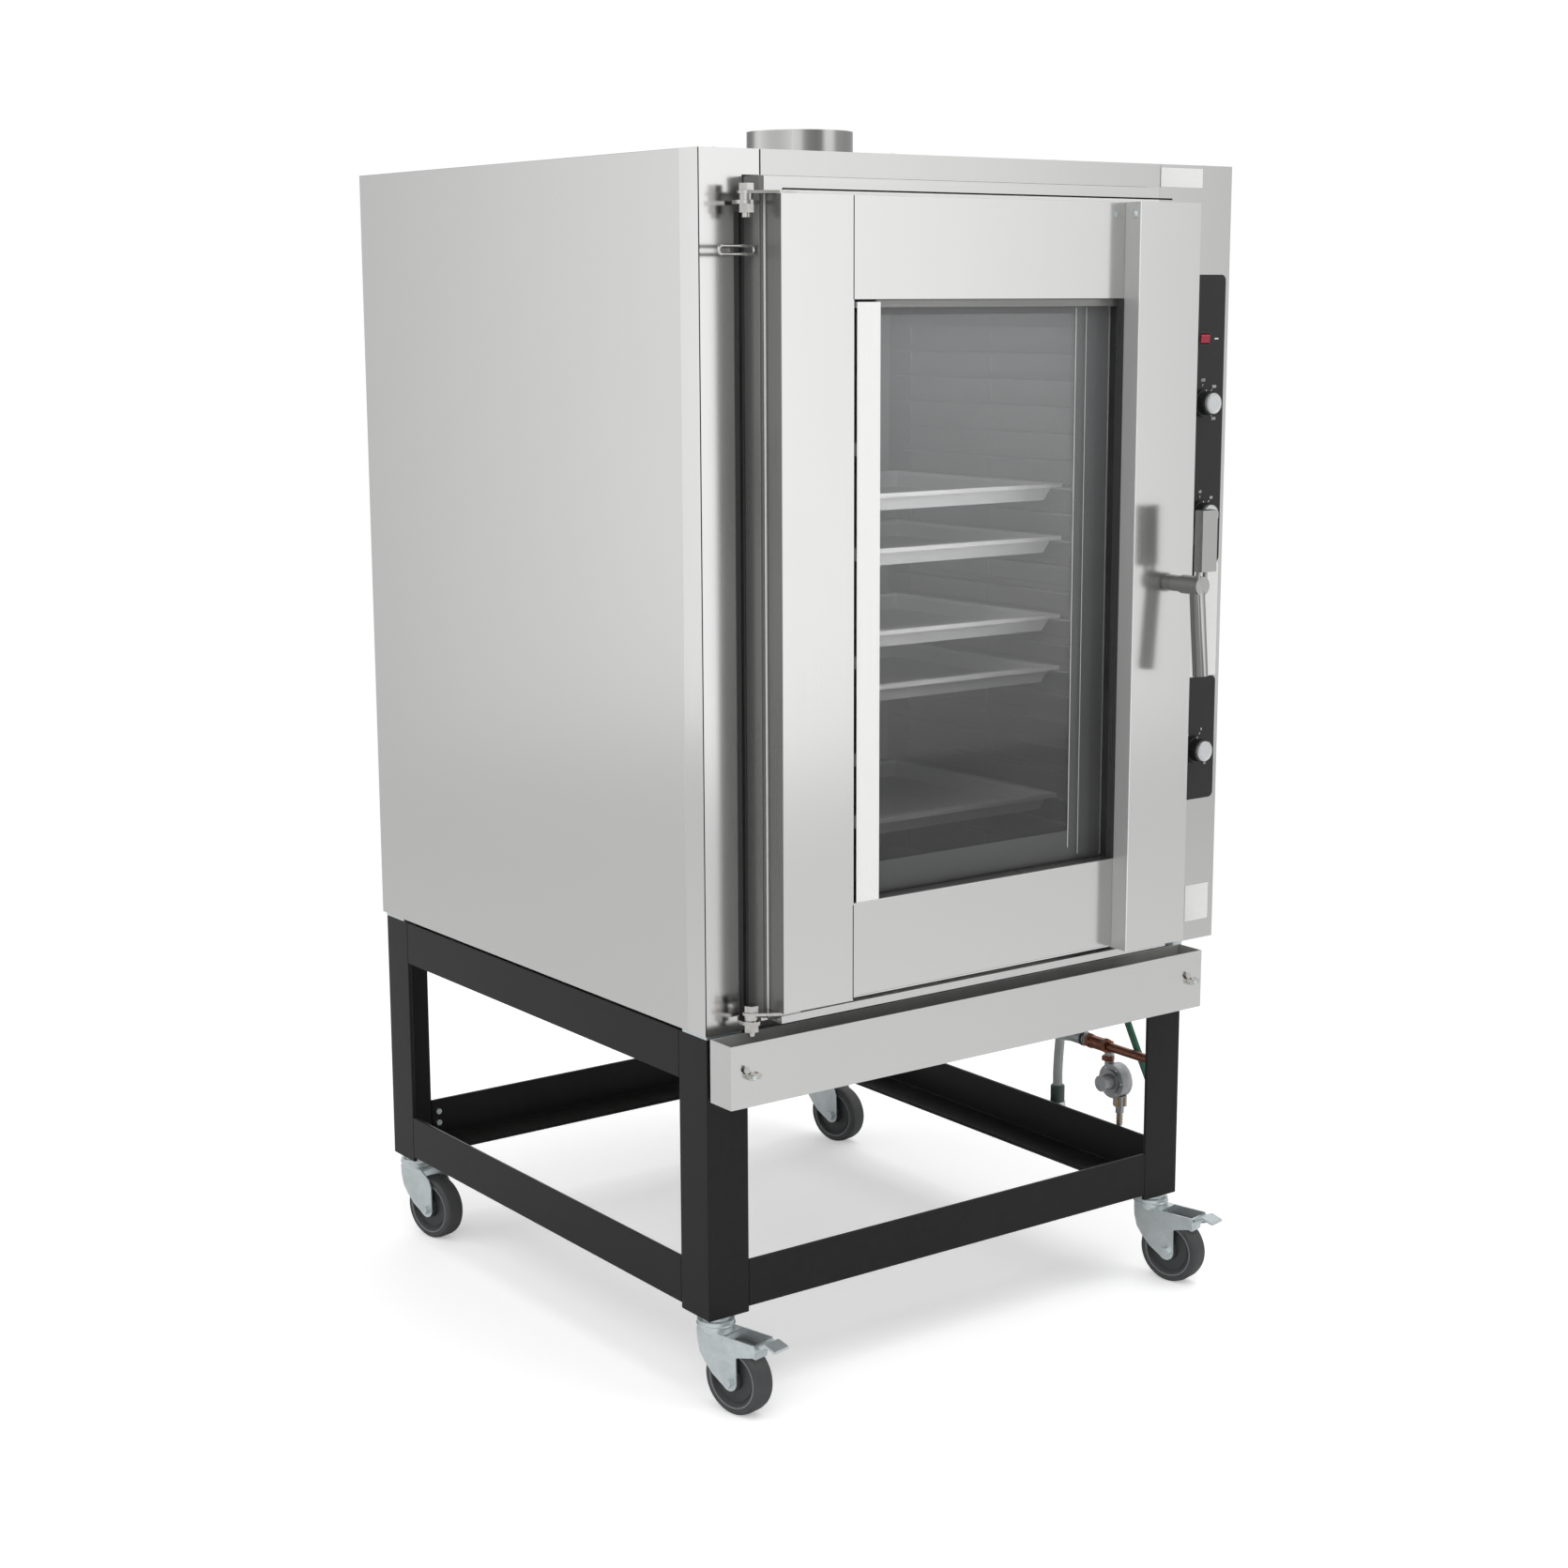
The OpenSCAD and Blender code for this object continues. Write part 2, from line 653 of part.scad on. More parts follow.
// Left post, top strip, sill, control fascia, and two blank plates on the fascia
module front_panels() {
    color([0.78, 0.78, 0.78]) placed() {
        band_z = frame_top + 2;
        fascia_x = frame_right + 2;
        top_x = cab_w - fascia_w;
        box([0, 0, 0], [frame_left - seal_w, sheet, cab_h]);
        box([frame_left - seal_w, 0, band_z], [post_w - 0.3, sheet, cab_h]);
        box([0, sheet, 0], [sheet, post_return, cab_h]);
        box([post_w + 0.3, 0, band_z], [top_x - 0.3, sheet, cab_h]);
        box([frame_left - seal_w + 0.5, 0, 0], [fascia_x - 0.5, sheet, frame_bottom - seal_w]);
        difference() {
            union() {
                box([fascia_x, 0, 0], [cab_w, sheet, band_z]);
                box([top_x + 0.3, 0, band_z], [cab_w, sheet, cab_h]);
                box([cab_w - sheet, sheet, 0], [cab_w, post_return, cab_h]);
            }
            for (z = knob_z) translate([column_x, 0, z]) rod_y(-1, sheet + 1, 5);
            box([column_x - rocker_size[0] / 2 - 1, -1, rocker_z - rocker_size[1] / 2 - 1],
                [column_x + rocker_size[0] / 2 + 1, sheet + 1, rocker_z + rocker_size[1] / 2 + 1]);
        }
        box([top_x + 4, -0.6, cab_h - 32], [cab_w - 62, 0, cab_h - 6]);
        box([column_x - 12, -0.6, 30], [column_x + 41, 0, 90]);
    }
}

// Two black overlays with rounded corners on the side away from the door
module control_overlay() {
    color([0.12, 0.12, 0.12]) placed() {
        difference() {
            slab_y(-overlay_t, 0) union() {
                translate([column_x - overlay_w / 2, knob_z[1] - 76]) tab2d(overlay_w, overlay_h, 9);
                translate([column_x - overlay_w / 2, knob_z[2] - 80]) tab2d(overlay_w, low_overlay_h, 9);
            }
            for (z = knob_z) translate([column_x, 0, z]) rod_y(-2, 1, 5);
            box([column_x - rocker_size[0] / 2 - 1, -2, rocker_z - rocker_size[1] / 2 - 1],
                [column_x + rocker_size[0] / 2 + 1, 1, rocker_z + rocker_size[1] / 2 + 1]);
        }
    }
}

// Switch and thermostat bodies behind the fascia, and the rocker's housing
module control_units() {
    color([0.25, 0.25, 0.27]) placed() {
        for (z = knob_z) difference() {
            translate([column_x, 0, z]) union() {
                box([-switch_w / 2, sheet, -switch_w / 2], [switch_w / 2, sheet + switch_d, switch_w / 2]);
                rod_y(0, sheet, 4.9);
            }
            translate([column_x, 0, z]) rod_y(-1, sheet + 20, spindle_r + fit);
        }
        translate([column_x, 0, rocker_z]) difference() {
            union() {
                box([-rocker_size[0] / 2 - 3, -overlay_t - 2, -rocker_size[1] / 2 - 3],
                    [rocker_size[0] / 2 + 3, -overlay_t, rocker_size[1] / 2 + 3]);
                box([-rocker_size[0] / 2 - 1, -overlay_t, -rocker_size[1] / 2 - 1],
                    [rocker_size[0] / 2 + 1, sheet, rocker_size[1] / 2 + 1]);
                box([-rocker_size[0] / 2 - 2, sheet, -rocker_size[1] / 2 - 2],
                    [rocker_size[0] / 2 + 2, sheet + 26, rocker_size[1] / 2 + 2]);
            }
            box([-rocker_size[0] / 2, -5, -rocker_size[1] / 2], [rocker_size[0] / 2, sheet + 14, rocker_size[1] / 2]);
        }
        translate([column_x, rocker_y, rocker_z])
            rod_x(-rocker_size[0] / 2, rocker_size[0] / 2, 1.5);
    }
}

// Red rocker on its pin, tipped to the off side
module rocker() {
    color([0.75, 0.1, 0.1]) placed() translate([column_x, rocker_y, rocker_z]) difference() {
        intersection() {
            rod_x(-rocker_size[0] / 2 + 0.3, rocker_size[0] / 2 - 0.3, rocker_size[1] / 2 - 0.4);
            box([-20, -20, -20], [20, 4, 20]);
        }
        rotate([rocker_tilt, 0, 0]) box([-20, -20, -20], [20, -5.5, 20]);
        rod_x(-20, 20, 1.5 + fit);
    }
}

module knob(z) {
    color([0.15, 0.15, 0.15]) placed() translate([column_x, -overlay_t, z]) {
        difference() {
            union() {
                rod_y(-7.5, -0.5, skirt_r);
                rod_y(-20, -7.5, cap_r + 1.5);
            }
            rotate([0, 45, 0]) box([-1, -8, cap_r + 2], [1, -6.5, skirt_r + 1]);
        }
        rod_y(-26, -20, cap_r);
        rod_y(-0.5, sheet + 18, spindle_r);
    }
}
module knob_1() { knob(knob_z[0]); }
module knob_2() { knob(knob_z[1]); }
module knob_3() { knob(knob_z[2]); }

// Oven chamber

// Flanged frame round the mouth
module chamber_frame() {
    color([0.7, 0.7, 0.7]) placed() difference() {
        box([frame_left, front_y, frame_bottom], [frame_right, 12, frame_top]);
        box([frame_left + sheet, front_y + sheet, frame_bottom + sheet],
            [frame_right - sheet, 13, frame_top - sheet]);
        box([mouth_x0, front_y - 1, mouth_z0], [mouth_x1, 0, mouth_z1]);
    }
}

// Black seal that fills the gap between the chamber frame and the front panels
module frame_seal() {
    color([0.08, 0.08, 0.08]) placed() difference() {
        box([frame_left - seal_w, -3, frame_bottom - seal_w], [frame_right + 2, 3, frame_top + 2]);
        box([frame_left, -4, frame_bottom], [frame_right, 4, frame_top]);
        box([-1, 0, -1], [frame_left - seal_w + 0.1, 4, cab_h]);
    }
}

module cavity_liner() {
    color([0.68, 0.68, 0.68]) placed() difference() {
        box([mouth_x0 - sheet, front_y + sheet, mouth_z0 - sheet],
            [mouth_x1 + sheet, cavity_back + sheet, mouth_z1 + sheet]);
        box([mouth_x0, front_y, mouth_z0], [mouth_x1, cavity_back, mouth_z1]);
        translate([mouth_mid, 0, fan_z]) rod_y(cavity_back - 1, cavity_back + 3, fan_shaft_r + 3);
        translate([mouth_mid, 0, burner_z]) rod_y(cavity_back - 1, cavity_back + 3, exchanger_tube_r);
        translate([flue_at[0], flue_at[1], 0]) rod_z(mouth_z1 - 1, mouth_z1 + 3, riser_r);
    }
}

module insulation() {
    color([0.85, 0.82, 0.7]) placed() difference() {
        box([mouth_x0 - sheet - insulation_t, 14, mouth_z0 - sheet - insulation_t],
            [mouth_x1 + sheet + insulation_t, insulated_back, mouth_z1 + sheet + insulation_t]);
        box([mouth_x0 - sheet, 13, mouth_z0 - sheet], [mouth_x1 + sheet, cavity_back + sheet, mouth_z1 + sheet]);
        translate([mouth_mid, 0, fan_z]) rod_y(cavity_back, insulated_back + 1, fan_shaft_r + 6);
        translate([mouth_mid, 0, burner_z]) rod_y(cavity_back, insulated_back + 1, exchanger_tube_r);
        translate([flue_at[0], flue_at[1], 0]) rod_z(mouth_z1, mouth_z1 + insulation_t + 3, riser_r);
    }
}

// Upright bars and runners on both sides of the chamber
module tray_rack() {
    color([0.7, 0.7, 0.7]) placed() for (side = [0, 1])
        translate([side == 0 ? mouth_x0 : mouth_x1, 0, 0]) mirror([side, 0, 0]) {
            for (y = [tray_front - 33, tray_front + 187, baffle_y - 24])
                box([0, y, mouth_z0], [rack_bar, y + 16, mouth_z1 - 20]);
            for (k = [0 : runner_count - 1]) translate([rack_bar, 0, runner_z0 + k * runner_pitch]) {
                box([0, tray_front - 43, -runner_t], [runner_reach - rack_bar, baffle_y - 4, 0]);
                box([0, tray_front - 43, 0], [2, baffle_y - 4, 9]);
            }
        }
}

// A closed solid between two rectangles, one above the other, both centred on the z axis
module tapered(bottom, top, h) {
    corners = [[-1, -1], [1, -1], [1, 1], [-1, 1]];
    polyhedron(
        concat([for (c = corners) [c[0] * bottom[0] / 2, c[1] * bottom[1] / 2, 0]],
            [for (c = corners) [c[0] * top[0] / 2, c[1] * top[1] / 2, h]]),
        [[0, 1, 2, 3], [4, 7, 6, 5], [0, 4, 5, 1], [1, 5, 6, 2], [2, 6, 7, 3], [3, 7, 4, 0]]);
}

// A baking tray: a rim round sloping sides and a flat bottom
module tray(level) {
    z0 = runner_z0 + level * runner_pitch + seat;
    inner = [tray_w, tray_d] - 2 * [tray_rim, tray_rim];
    bottom = inner - 2 * [tray_slope, tray_slope];
    wall = 2 * [tray_sheet, tray_sheet];
    color([0.7, 0.71, 0.72]) placed() translate([mouth_mid, tray_front + tray_d / 2, z0 - tray_h])
        difference() {
            union() {
                tapered(bottom, inner, tray_h);
                translate([-tray_w / 2, -tray_d / 2, tray_h]) cube([tray_w, tray_d, rim_h]);
            }
            translate([0, 0, tray_sheet]) tapered(bottom - wall, inner - wall, tray_h);
            translate([0, 0, tray_h]) tapered(inner - wall, inner - wall, rim_h + 2);
        }
}
module tray_1() { tray(tray_levels[0]); }
module tray_2() { tray(tray_levels[1]); }
module tray_3() { tray(tray_levels[2]); }
module tray_4() { tray(tray_levels[3]); }
module tray_5() { tray(tray_levels[4]); }

// Sheet in front of the fan with a ring-slotted intake and side slots, on four stand-offs
module fan_baffle() {
    color([0.7, 0.7, 0.7]) placed() {
        difference() {
            box([mouth_x0 + 28, baffle_y, mouth_z0 + 18], [mouth_x1 - 28, baffle_y + sheet, mouth_z1 - 18]);
            translate([mouth_mid, 0, fan_z]) for (r = [intake_r, intake_r - 34, intake_r - 68]) difference() {
                rod_y(baffle_y - 1, baffle_y + 3, r);
                rod_y(baffle_y - 2, baffle_y + 4, r - 28);
                for (a = [0 : 45 : 135]) rotate([0, a, 0])
                    box([-intake_r - 4, baffle_y - 2, -3], [intake_r + 4, baffle_y + 4, 3]);
            }
            for (s = [-1, 1]) for (k = [-4 : 4])
                translate([mouth_mid + s * (mouth_w / 2 - 65), 0, fan_z + k * (mouth_h / 2 - 120) / 4])
                box([-12, baffle_y - 1, -30], [12, baffle_y + 3, 30]);
        }
        for (s = [-1, 1]) for (v = [-1, 1])
            translate([mouth_mid + s * (mouth_w / 2 - 40), 0, fan_z + v * (mouth_h / 2 - 40)])
                rod_y(baffle_y + sheet, cavity_back, 6);
    }
}

// Fan wheel with its blades and shaft
module fan_impeller() {
    color([0.7, 0.7, 0.7]) placed() translate([mouth_mid, 0, fan_z]) {
        rod_y(fan_y1 - 2, fan_y1, fan_r);
        difference() {
            rod_y(fan_y0, fan_y0 + 2, fan_r);
            rod_y(fan_y0 - 1, fan_y0 + 3, fan_r - 34);
        }
        for (a = [0 : 20 : 340]) rotate([0, a, 0]) translate([fan_r - 32, 0, 0]) rotate([0, 35, 0])
            box([-16, fan_y0 + 1, -1], [16, fan_y1 - 1, 1]);
        rod_y(fan_y1 - 30, fan_y1 - 1, 22);
        rod_y(fan_y1 - 1, fan_shaft_end, fan_shaft_r);
    }
}

module fan_motor() {
    color([0.3, 0.32, 0.34]) placed() translate([mouth_mid, 0, fan_z]) difference() {
        union() {
            box([-motor_r - 30, insulated_back, -motor_r - 30], [motor_r + 30, insulated_back + 4, motor_r + 30]);
            rod_y(insulated_back + 4, insulated_back + 30, motor_r - 20);
            rod_y(insulated_back + 30, insulated_back + 30 + motor_l, motor_r);
            box([-30, insulated_back + 70, motor_r - 2], [30, insulated_back + 130, motor_r + 25]);
        }
        rod_y(insulated_back - 1, fan_shaft_end + 3, fan_shaft_r + fit);
    }
}

// Ring-shaped gas heat exchanger round the fan, with burner tube and riser to the flue
module heat_exchanger() {
    color([0.5, 0.48, 0.45]) placed() {
        riser_z = fan_z + sqrt(pow(exchanger_r, 2) - pow(flue_at[0] - mouth_mid, 2));
        translate([mouth_mid, ring_y, fan_z]) rotate([90, 0, 0]) rotate_extrude()
            translate([exchanger_r, 0]) circle(exchanger_tube_r);
        translate([mouth_mid, 0, burner_z]) rod_y(ring_y, insulated_back + 46, exchanger_tube_r);
        box([mouth_mid - 60, insulated_back + 46, burner_z - 45], [mouth_mid + 60, insulated_back + 130, burner_z + 45]);
        translate([flue_at[0], flue_at[1], 0]) difference() {
            rod_z(riser_z, cab_h - 2.5, riser_r);
            rod_z(riser_z + exchanger_tube_r + 6, cab_h, riser_r - sheet);
        }
    }
}

module flue_collar() {
    color([0.75, 0.75, 0.76]) placed() translate([flue_at[0], flue_at[1], 0]) {
        difference() {
            union() {
                rod_z(cab_h - 4, cab_h, flue_r - 1);
                rod_z(cab_h, cab_h + flue_h, flue_r);
            }
            rod_z(cab_h - 2.5, cab_h + 1, flue_r - sheet - 1);
            rod_z(cab_h + 0.5, cab_h + flue_h + 1, flue_r - sheet);
            rod_z(cab_h - 5, cab_h, riser_r);
        }
    }
}

// Hinges

// One fixed bracket: a rounded ear on a tab that reaches the chamber frame
module bracket2d() {
    difference() {
        union() {
            translate([pin_x, pin_y]) circle(pin_ear_r);
            polygon([[pin_x - pin_ear_r, pin_y], [pin_x + 8, pin_y - 11.4], [pin_x + pin_out - 8, front_y],
                [frame_left, front_y], [frame_left, -8], [pin_x - 4, -8], [pin_x - pin_ear_r, pin_y + 12]]);
        }
        translate([pin_x, pin_y]) circle(pin_r - 0.5);
    }
}

// Fixed brackets with their hinge bolts, and the rod with an eye under the top one
module hinge_brackets() {
    color([0.62, 0.63, 0.65]) placed() {
        for (top = [0, 1]) {
            strap_z = top == 1 ? door_z1 : door_z0 - strap_t;
            b = strap_z - 8 - seat - bracket_t;
            slab_z(b, b + bracket_t) bracket2d();
            translate([pin_x, pin_y, 0]) {
                rod_z(b - 17, strap_z + strap_t + seat, pin_r);
                translate([0, 0, b - 11]) cylinder(h = 11, r = bolt_af_r, $fn = 6);
                translate([0, 0, strap_z + strap_t + seat]) cylinder(h = 9, r = bolt_af_r, $fn = 6);
            }
        }
        translate([0, loop_y, loop_z]) {
            rod_x(loop_tip + 7, frame_left, loop_rod / 2);
            translate([loop_tip, 0, 0]) rotate([90, 0, 0]) rotate_extrude()
                translate([6.5, 0]) circle(loop_rod / 2);
        }
    }
}

// Straps on the door with the bushes that turn on the hinge bolts
module door_straps() {
    color([0.66, 0.66, 0.68]) placed() for (top = [0, 1]) {
        strap_z = top == 1 ? door_z1 : door_z0 - strap_t;
        difference() {
            union() {
                slab_z(strap_z, strap_z + strap_t) union() {
                    translate([pin_x, pin_y]) circle(12);
                    polygon([[pin_x - 6, pin_y - 10.4], [door_x0 + 4, stile_y + 8], [door_x0 + 34, stile_y + 8],
                        [door_x0 + 34, leaf_y], [door_x0, leaf_y], [pin_x + 8, pin_y + 9]]);
                }
                translate([pin_x, pin_y, 0]) rod_z(strap_z - 8, strap_z, bush_r);
            }
            translate([pin_x, pin_y, 0]) rod_z(strap_z - 9, strap_z + strap_t + 1, pin_r + fit);
        }
    }
}

// Door

module door_hinge_stile() {
    color([0.8, 0.8, 0.8]) placed() difference() {
        box([door_x0, stile_y, door_z0], [win_x0, leaf_y, door_z1]);
        box([door_x0 + sheet, stile_y + sheet, door_z0 + sheet], [win_x0 - sheet, leaf_y + 1, door_z1 - sheet]);
    }
}

// Deep stile with the bearing of the lever's shaft and a slot for the latch tongue
module door_lever_stile() {
    color([0.8, 0.8, 0.8]) placed() difference() {
        union() {
            difference() {
                box([win_x1, lever_stile_y, door_z0], [door_x1, leaf_y, door_z1]);
                box([win_x1 + sheet, lever_stile_y + sheet, door_z0 + sheet],
                    [door_x1 - sheet, leaf_y + 1, door_z1 - sheet]);
            }
            translate([lever_x, 0, lever_z]) rod_y(lever_stile_y + sheet, lever_stile_y + 36, shaft_r + 5);
        }
        translate([lever_x, 0, lever_z]) rod_y(lever_stile_y - 1, lever_stile_y + 37, shaft_r + fit);
        box([door_x1 - 2 * sheet, tongue_y - 2, lever_z - 12],
            [door_x1 + 1, tongue_y + tongue_t + 2, lever_z + keeper_h / 2]);
    }
}

// Top and bottom rails, and the low strip that steps back under the top one
module door_rails() {
    color([0.8, 0.8, 0.8]) placed() {
        difference() {
            box([win_x0, rail_y, door_z0 + 4], [win_x1, leaf_y, win_z0]);
            box([win_x0 + sheet, rail_y + sheet, door_z0 + 4 + sheet], [win_x1 - sheet, leaf_y + 1, win_z0 - sheet]);
        }
        difference() {
            box([win_x0, rail_y, win_z1], [win_x1, leaf_y, door_z1]);
            box([win_x0 + sheet, rail_y + sheet, win_z1 + sheet], [win_x1 - sheet, leaf_y + 1, door_z1 - sheet]);
        }
        box([win_x0, rail_y + 12, win_z1 - reveal_drop], [win_x1, rail_y + 12 + sheet, win_z1]);
    }
}

// Back sheet of the door with the inner window
module door_pan() {
    color([0.7, 0.7, 0.7]) placed() difference() {
        box([door_x0, leaf_y, door_z0], [door_x1, pan_y, door_z1]);
        box([win_x0 + pan_lip_side, leaf_y - 1, pan_win_z0], [win_x1 - pan_lip_side, pan_y + 1, pan_win_z1]);
    }
}

// Outer pane against the back sheet, inner pane behind the sheet in a thin holder
module door_glass() {
    color([0.3, 0.33, 0.34, 0.6]) placed() {
        box([win_x0 + 0.3, leaf_y - glass_t, win_z0 + 0.3], [win_x1 - 0.3, leaf_y, win_z1 - 0.3]);
        box([win_x0 + pan_lip_side - 22, pan_y, pan_win_z0 - 16],
            [win_x1 - pan_lip_side + 22, pan_y + glass_t, pan_win_z1 + 16]);
    }
}

// Bright strip beside the glass, with five tabs to the hinge stile
module glass_strip() {
    color([0.9, 0.9, 0.9]) placed() {
        x0 = win_x0 + strip_gap;
        box([x0, rail_y, win_z0], [x0 + strip_w, rail_y + sheet, win_z1 - reveal_drop]);
        box([x0 + strip_w - sheet, rail_y + sheet, win_z0], [x0 + strip_w, leaf_y - glass_t, win_z1 - reveal_drop]);
        for (z = strip_tabs)
            box([win_x0, rail_y + sheet, win_z0 + z - 9], [x0 + 10, rail_y + 2 * sheet, win_z0 + z + 9]);
    }
}

module door_gasket() {
    color([0.06, 0.06, 0.06]) placed() slab_y(pan_y, front_y - seat)
        ring2d([door_x0 + 15, door_z0 + 25], [door_x1 - 22, door_z1 - 21], gasket_w);
}

// Channel under the door that carries drips over the trough
module drip_rail() {
    color([0.75, 0.75, 0.75]) placed() {
        x0 = door_x0 + 36;
        box([x0, leaf_y - sheet, door_z0 - 17], [door_x1, leaf_y, door_z0]);
        box([door_x0 + 5, leaf_y - 24, door_z0 - 17], [door_x1, leaf_y, door_z0 - 17 + sheet]);
        box([door_x0 + 5, leaf_y - 24 - sheet, door_z0 - 17], [door_x1, leaf_y - 24, door_z0 - 6]);
    }
}

// Shaft of the lever with the latch tongue on its inner end
module lever_shaft() {
    color([0.6, 0.6, 0.62]) placed() translate([lever_x, 0, lever_z]) {
        rod_y(collar_y1, tongue_y + tongue_t, shaft_r);
        rod_y(lever_stile_y + 36 + seat, lever_stile_y + 42, shaft_r + 4);
        slab_y(tongue_y, tongue_y + tongue_t) union() {
            translate([0, -tongue_w / 2]) square([tongue_l - tongue_w / 2, tongue_w]);
            translate([tongue_l - tongue_w / 2, 0]) circle(tongue_w / 2);
        }
    }
}

// Collar, flat bar above it and round grip below it, bent a little towards the front
module handle_lever() {
    color([0.75, 0.75, 0.76]) placed() translate([lever_x, 0, lever_z]) {
        rod_y(collar_y0, collar_y1, collar_r);
        box([-bar_w / 2, -handle_reach, collar_r + 8], [bar_w / 2, -handle_reach + bar_d, collar_r + 8 + bar_l]);
        for (x = [-7, 7]) translate([x, collar_y0 + 3, 0]) rod_z(collar_r - 6, collar_r + 8, 3.5);
        translate([0, collar_y0 + 12, 0]) rotate([-5, 0, 0]) rod_z(-grip_l, 0, grip_r);
    }
}

// Open-fronted housing on the fascia that the latch tongue swings in, with a stop pad behind it
module latch_keeper() {
    color([0.12, 0.12, 0.12]) placed() translate([0, 0, lever_z]) {
        difference() {
            box([keeper_x0, keeper_y, -keeper_h / 2], [keeper_x1, 0, keeper_h / 2]);
            box([keeper_x0 - 1, keeper_y - 1, -keeper_h / 2 + 2], [keeper_x1 - 2, -3, keeper_h / 2 - 2]);
        }
        box([keeper_x0 + 2, tongue_y + tongue_t + seat, -12], [keeper_x0 + 22, -3, 12]);
    }
}

// Services under the control side

module gas_regulator() {
    color([0.62, 0.63, 0.65]) placed() translate(regulator_at) {
        rod_x(-12, 10, 29);
        rod_x(-16, -12, 20);
        rod_x(-36, -16, 13.5);
        translate([0, 17, 22]) rod_z(-6, regulator_up - 22, 8);
        translate([0, -10, -24]) {
            translate([0, 0, -18]) cylinder(h = 18, r = 12, $fn = 6);
            rod_z(-30, -17, 7);
            rod_z(-52, -29, tail_r);
        }
    }
}

// Copper pipe with its tee, down from the cabinet and back to the hose
module gas_pipe() {
    color([0.62, 0.35, 0.24]) placed() difference() {
        union() {
            translate([pipe_x, 0, pipe_z]) {
                rod_y(pipe_front, tee_y, pipe_r);
                rod_y(tee_y, tee_y + 32, 11);
                rod_y(tee_y + 32, pipe_back, pipe_r);
            }
            translate([pipe_x, pipe_front, 0]) rod_z(pipe_z, 0, pipe_r);
            translate([pipe_x, pipe_front, pipe_z]) sphere(r = pipe_r + 1.5);
            translate([pipe_x, pipe_front - 30, -26]) box([-stand_gap, 26, 0], [0, 34, 12]);
        }
        translate([pipe_x, pipe_back, pipe_z]) rod_y(-20, 1, 5);
    }
}

// Grey gas hose and grey drain hose
module grey_hoses() {
    color([0.6, 0.61, 0.62]) placed() {
        tube_along(gas_route, hose_r);
        tube_along(drain_route, hose_r);
    }
}

// Green tube, and the sleeve on the end of the drain hose
module green_tube() {
    color([0.1, 0.4, 0.28]) placed() {
        tube_along(green_route, green_r);
        translate([drain_end[0], drain_end[1], 0]) difference() {
            union() {
                rod_z(drain_end[2] - 4, clip_z - 9, sleeve_r);
                rod_z(clip_z - 9, drain_end[2] + 66, sleeve_r - 0.7);
            }
            rod_z(drain_end[2] - 5, drain_end[2] + 67, hose_r + seat);
        }
    }
}

// Drip trough

module drip_trough() {
    color([0.78, 0.78, 0.78]) placed() difference() {
        box([trough_x0, trough_y0, trough_z0], [trough_x0 + trough_l, trough_y1, trough_z1]);
        box([trough_x0 + sheet, trough_y0 + sheet, trough_z0 + sheet],
            [trough_x0 + trough_l - sheet, trough_y1 - sheet, trough_z1 + 1]);
        for (x = stud_x) translate([x, 0, stud_z]) rod_y(trough_y0 - 1, trough_y1 + 1, stud_r + fit);
    }
}

// A wing nut on a trough stud
module wing_nut(x) {
    color([0.7, 0.7, 0.7]) placed() translate([x, trough_y0, stud_z]) rotate([0, 30, 0]) difference() {
        union() {
            rod_y(-8, -seat, 6.5);
            for (s = [0, 1]) mirror([s, 0, 0]) slab_y(-6, -3.5)
                polygon([[4, -3], [15, 2], [16, 9], [12, 10], [4, 4]]);
        }
        rod_y(-9, 0, stud_r + fit);
    }
}
module wing_nut_left() { wing_nut(stud_x[0]); }
module wing_nut_right() { wing_nut(stud_x[1]); }

stand_legs();
stand_rails();
stand_fixings();
base_panel();
side_panels();
back_panel();
roof_panel();
front_panels();
control_overlay();
control_units();
chamber_frame();
frame_seal();
cavity_liner();
insulation();
tray_rack();
fan_baffle();
fan_motor();
heat_exchanger();
flue_collar();
hinge_brackets();
latch_keeper();
gas_regulator();
gas_pipe();
grey_hoses();
green_tube();
drip_trough();
wing_nut_left();
wing_nut_right();
door_hinge_stile();
door_lever_stile();
door_rails();
door_pan();
door_glass();
glass_strip();
door_gasket();
drip_rail();
door_straps();
lever_shaft();
handle_lever();
rocker();
knob_1();
knob_2();
knob_3();
fan_impeller();
tray_1();
tray_2();
tray_3();
tray_4();
tray_5();
fork_front_left();
fork_front_right();
fork_rear_left();
fork_rear_right();
wheel_front_left();
wheel_front_right();
wheel_rear_left();
wheel_rear_right();
pedal_left();
pedal_right();
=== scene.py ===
"""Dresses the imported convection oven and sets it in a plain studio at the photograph's angle.

The sub-assembly classes give their sizes in millimetres in the cabinet's own frame: x from its left
side, y from its front face towards the back, z from its underside. Shop.place() turns them into the
metres of the model's frame.
"""

from __future__ import annotations

import json
import logging
import math
from contextlib import contextmanager
from dataclasses import dataclass, field
from enum import Enum
from typing import Callable, Iterator, Sequence

import bpy
from mathutils import Matrix, Vector

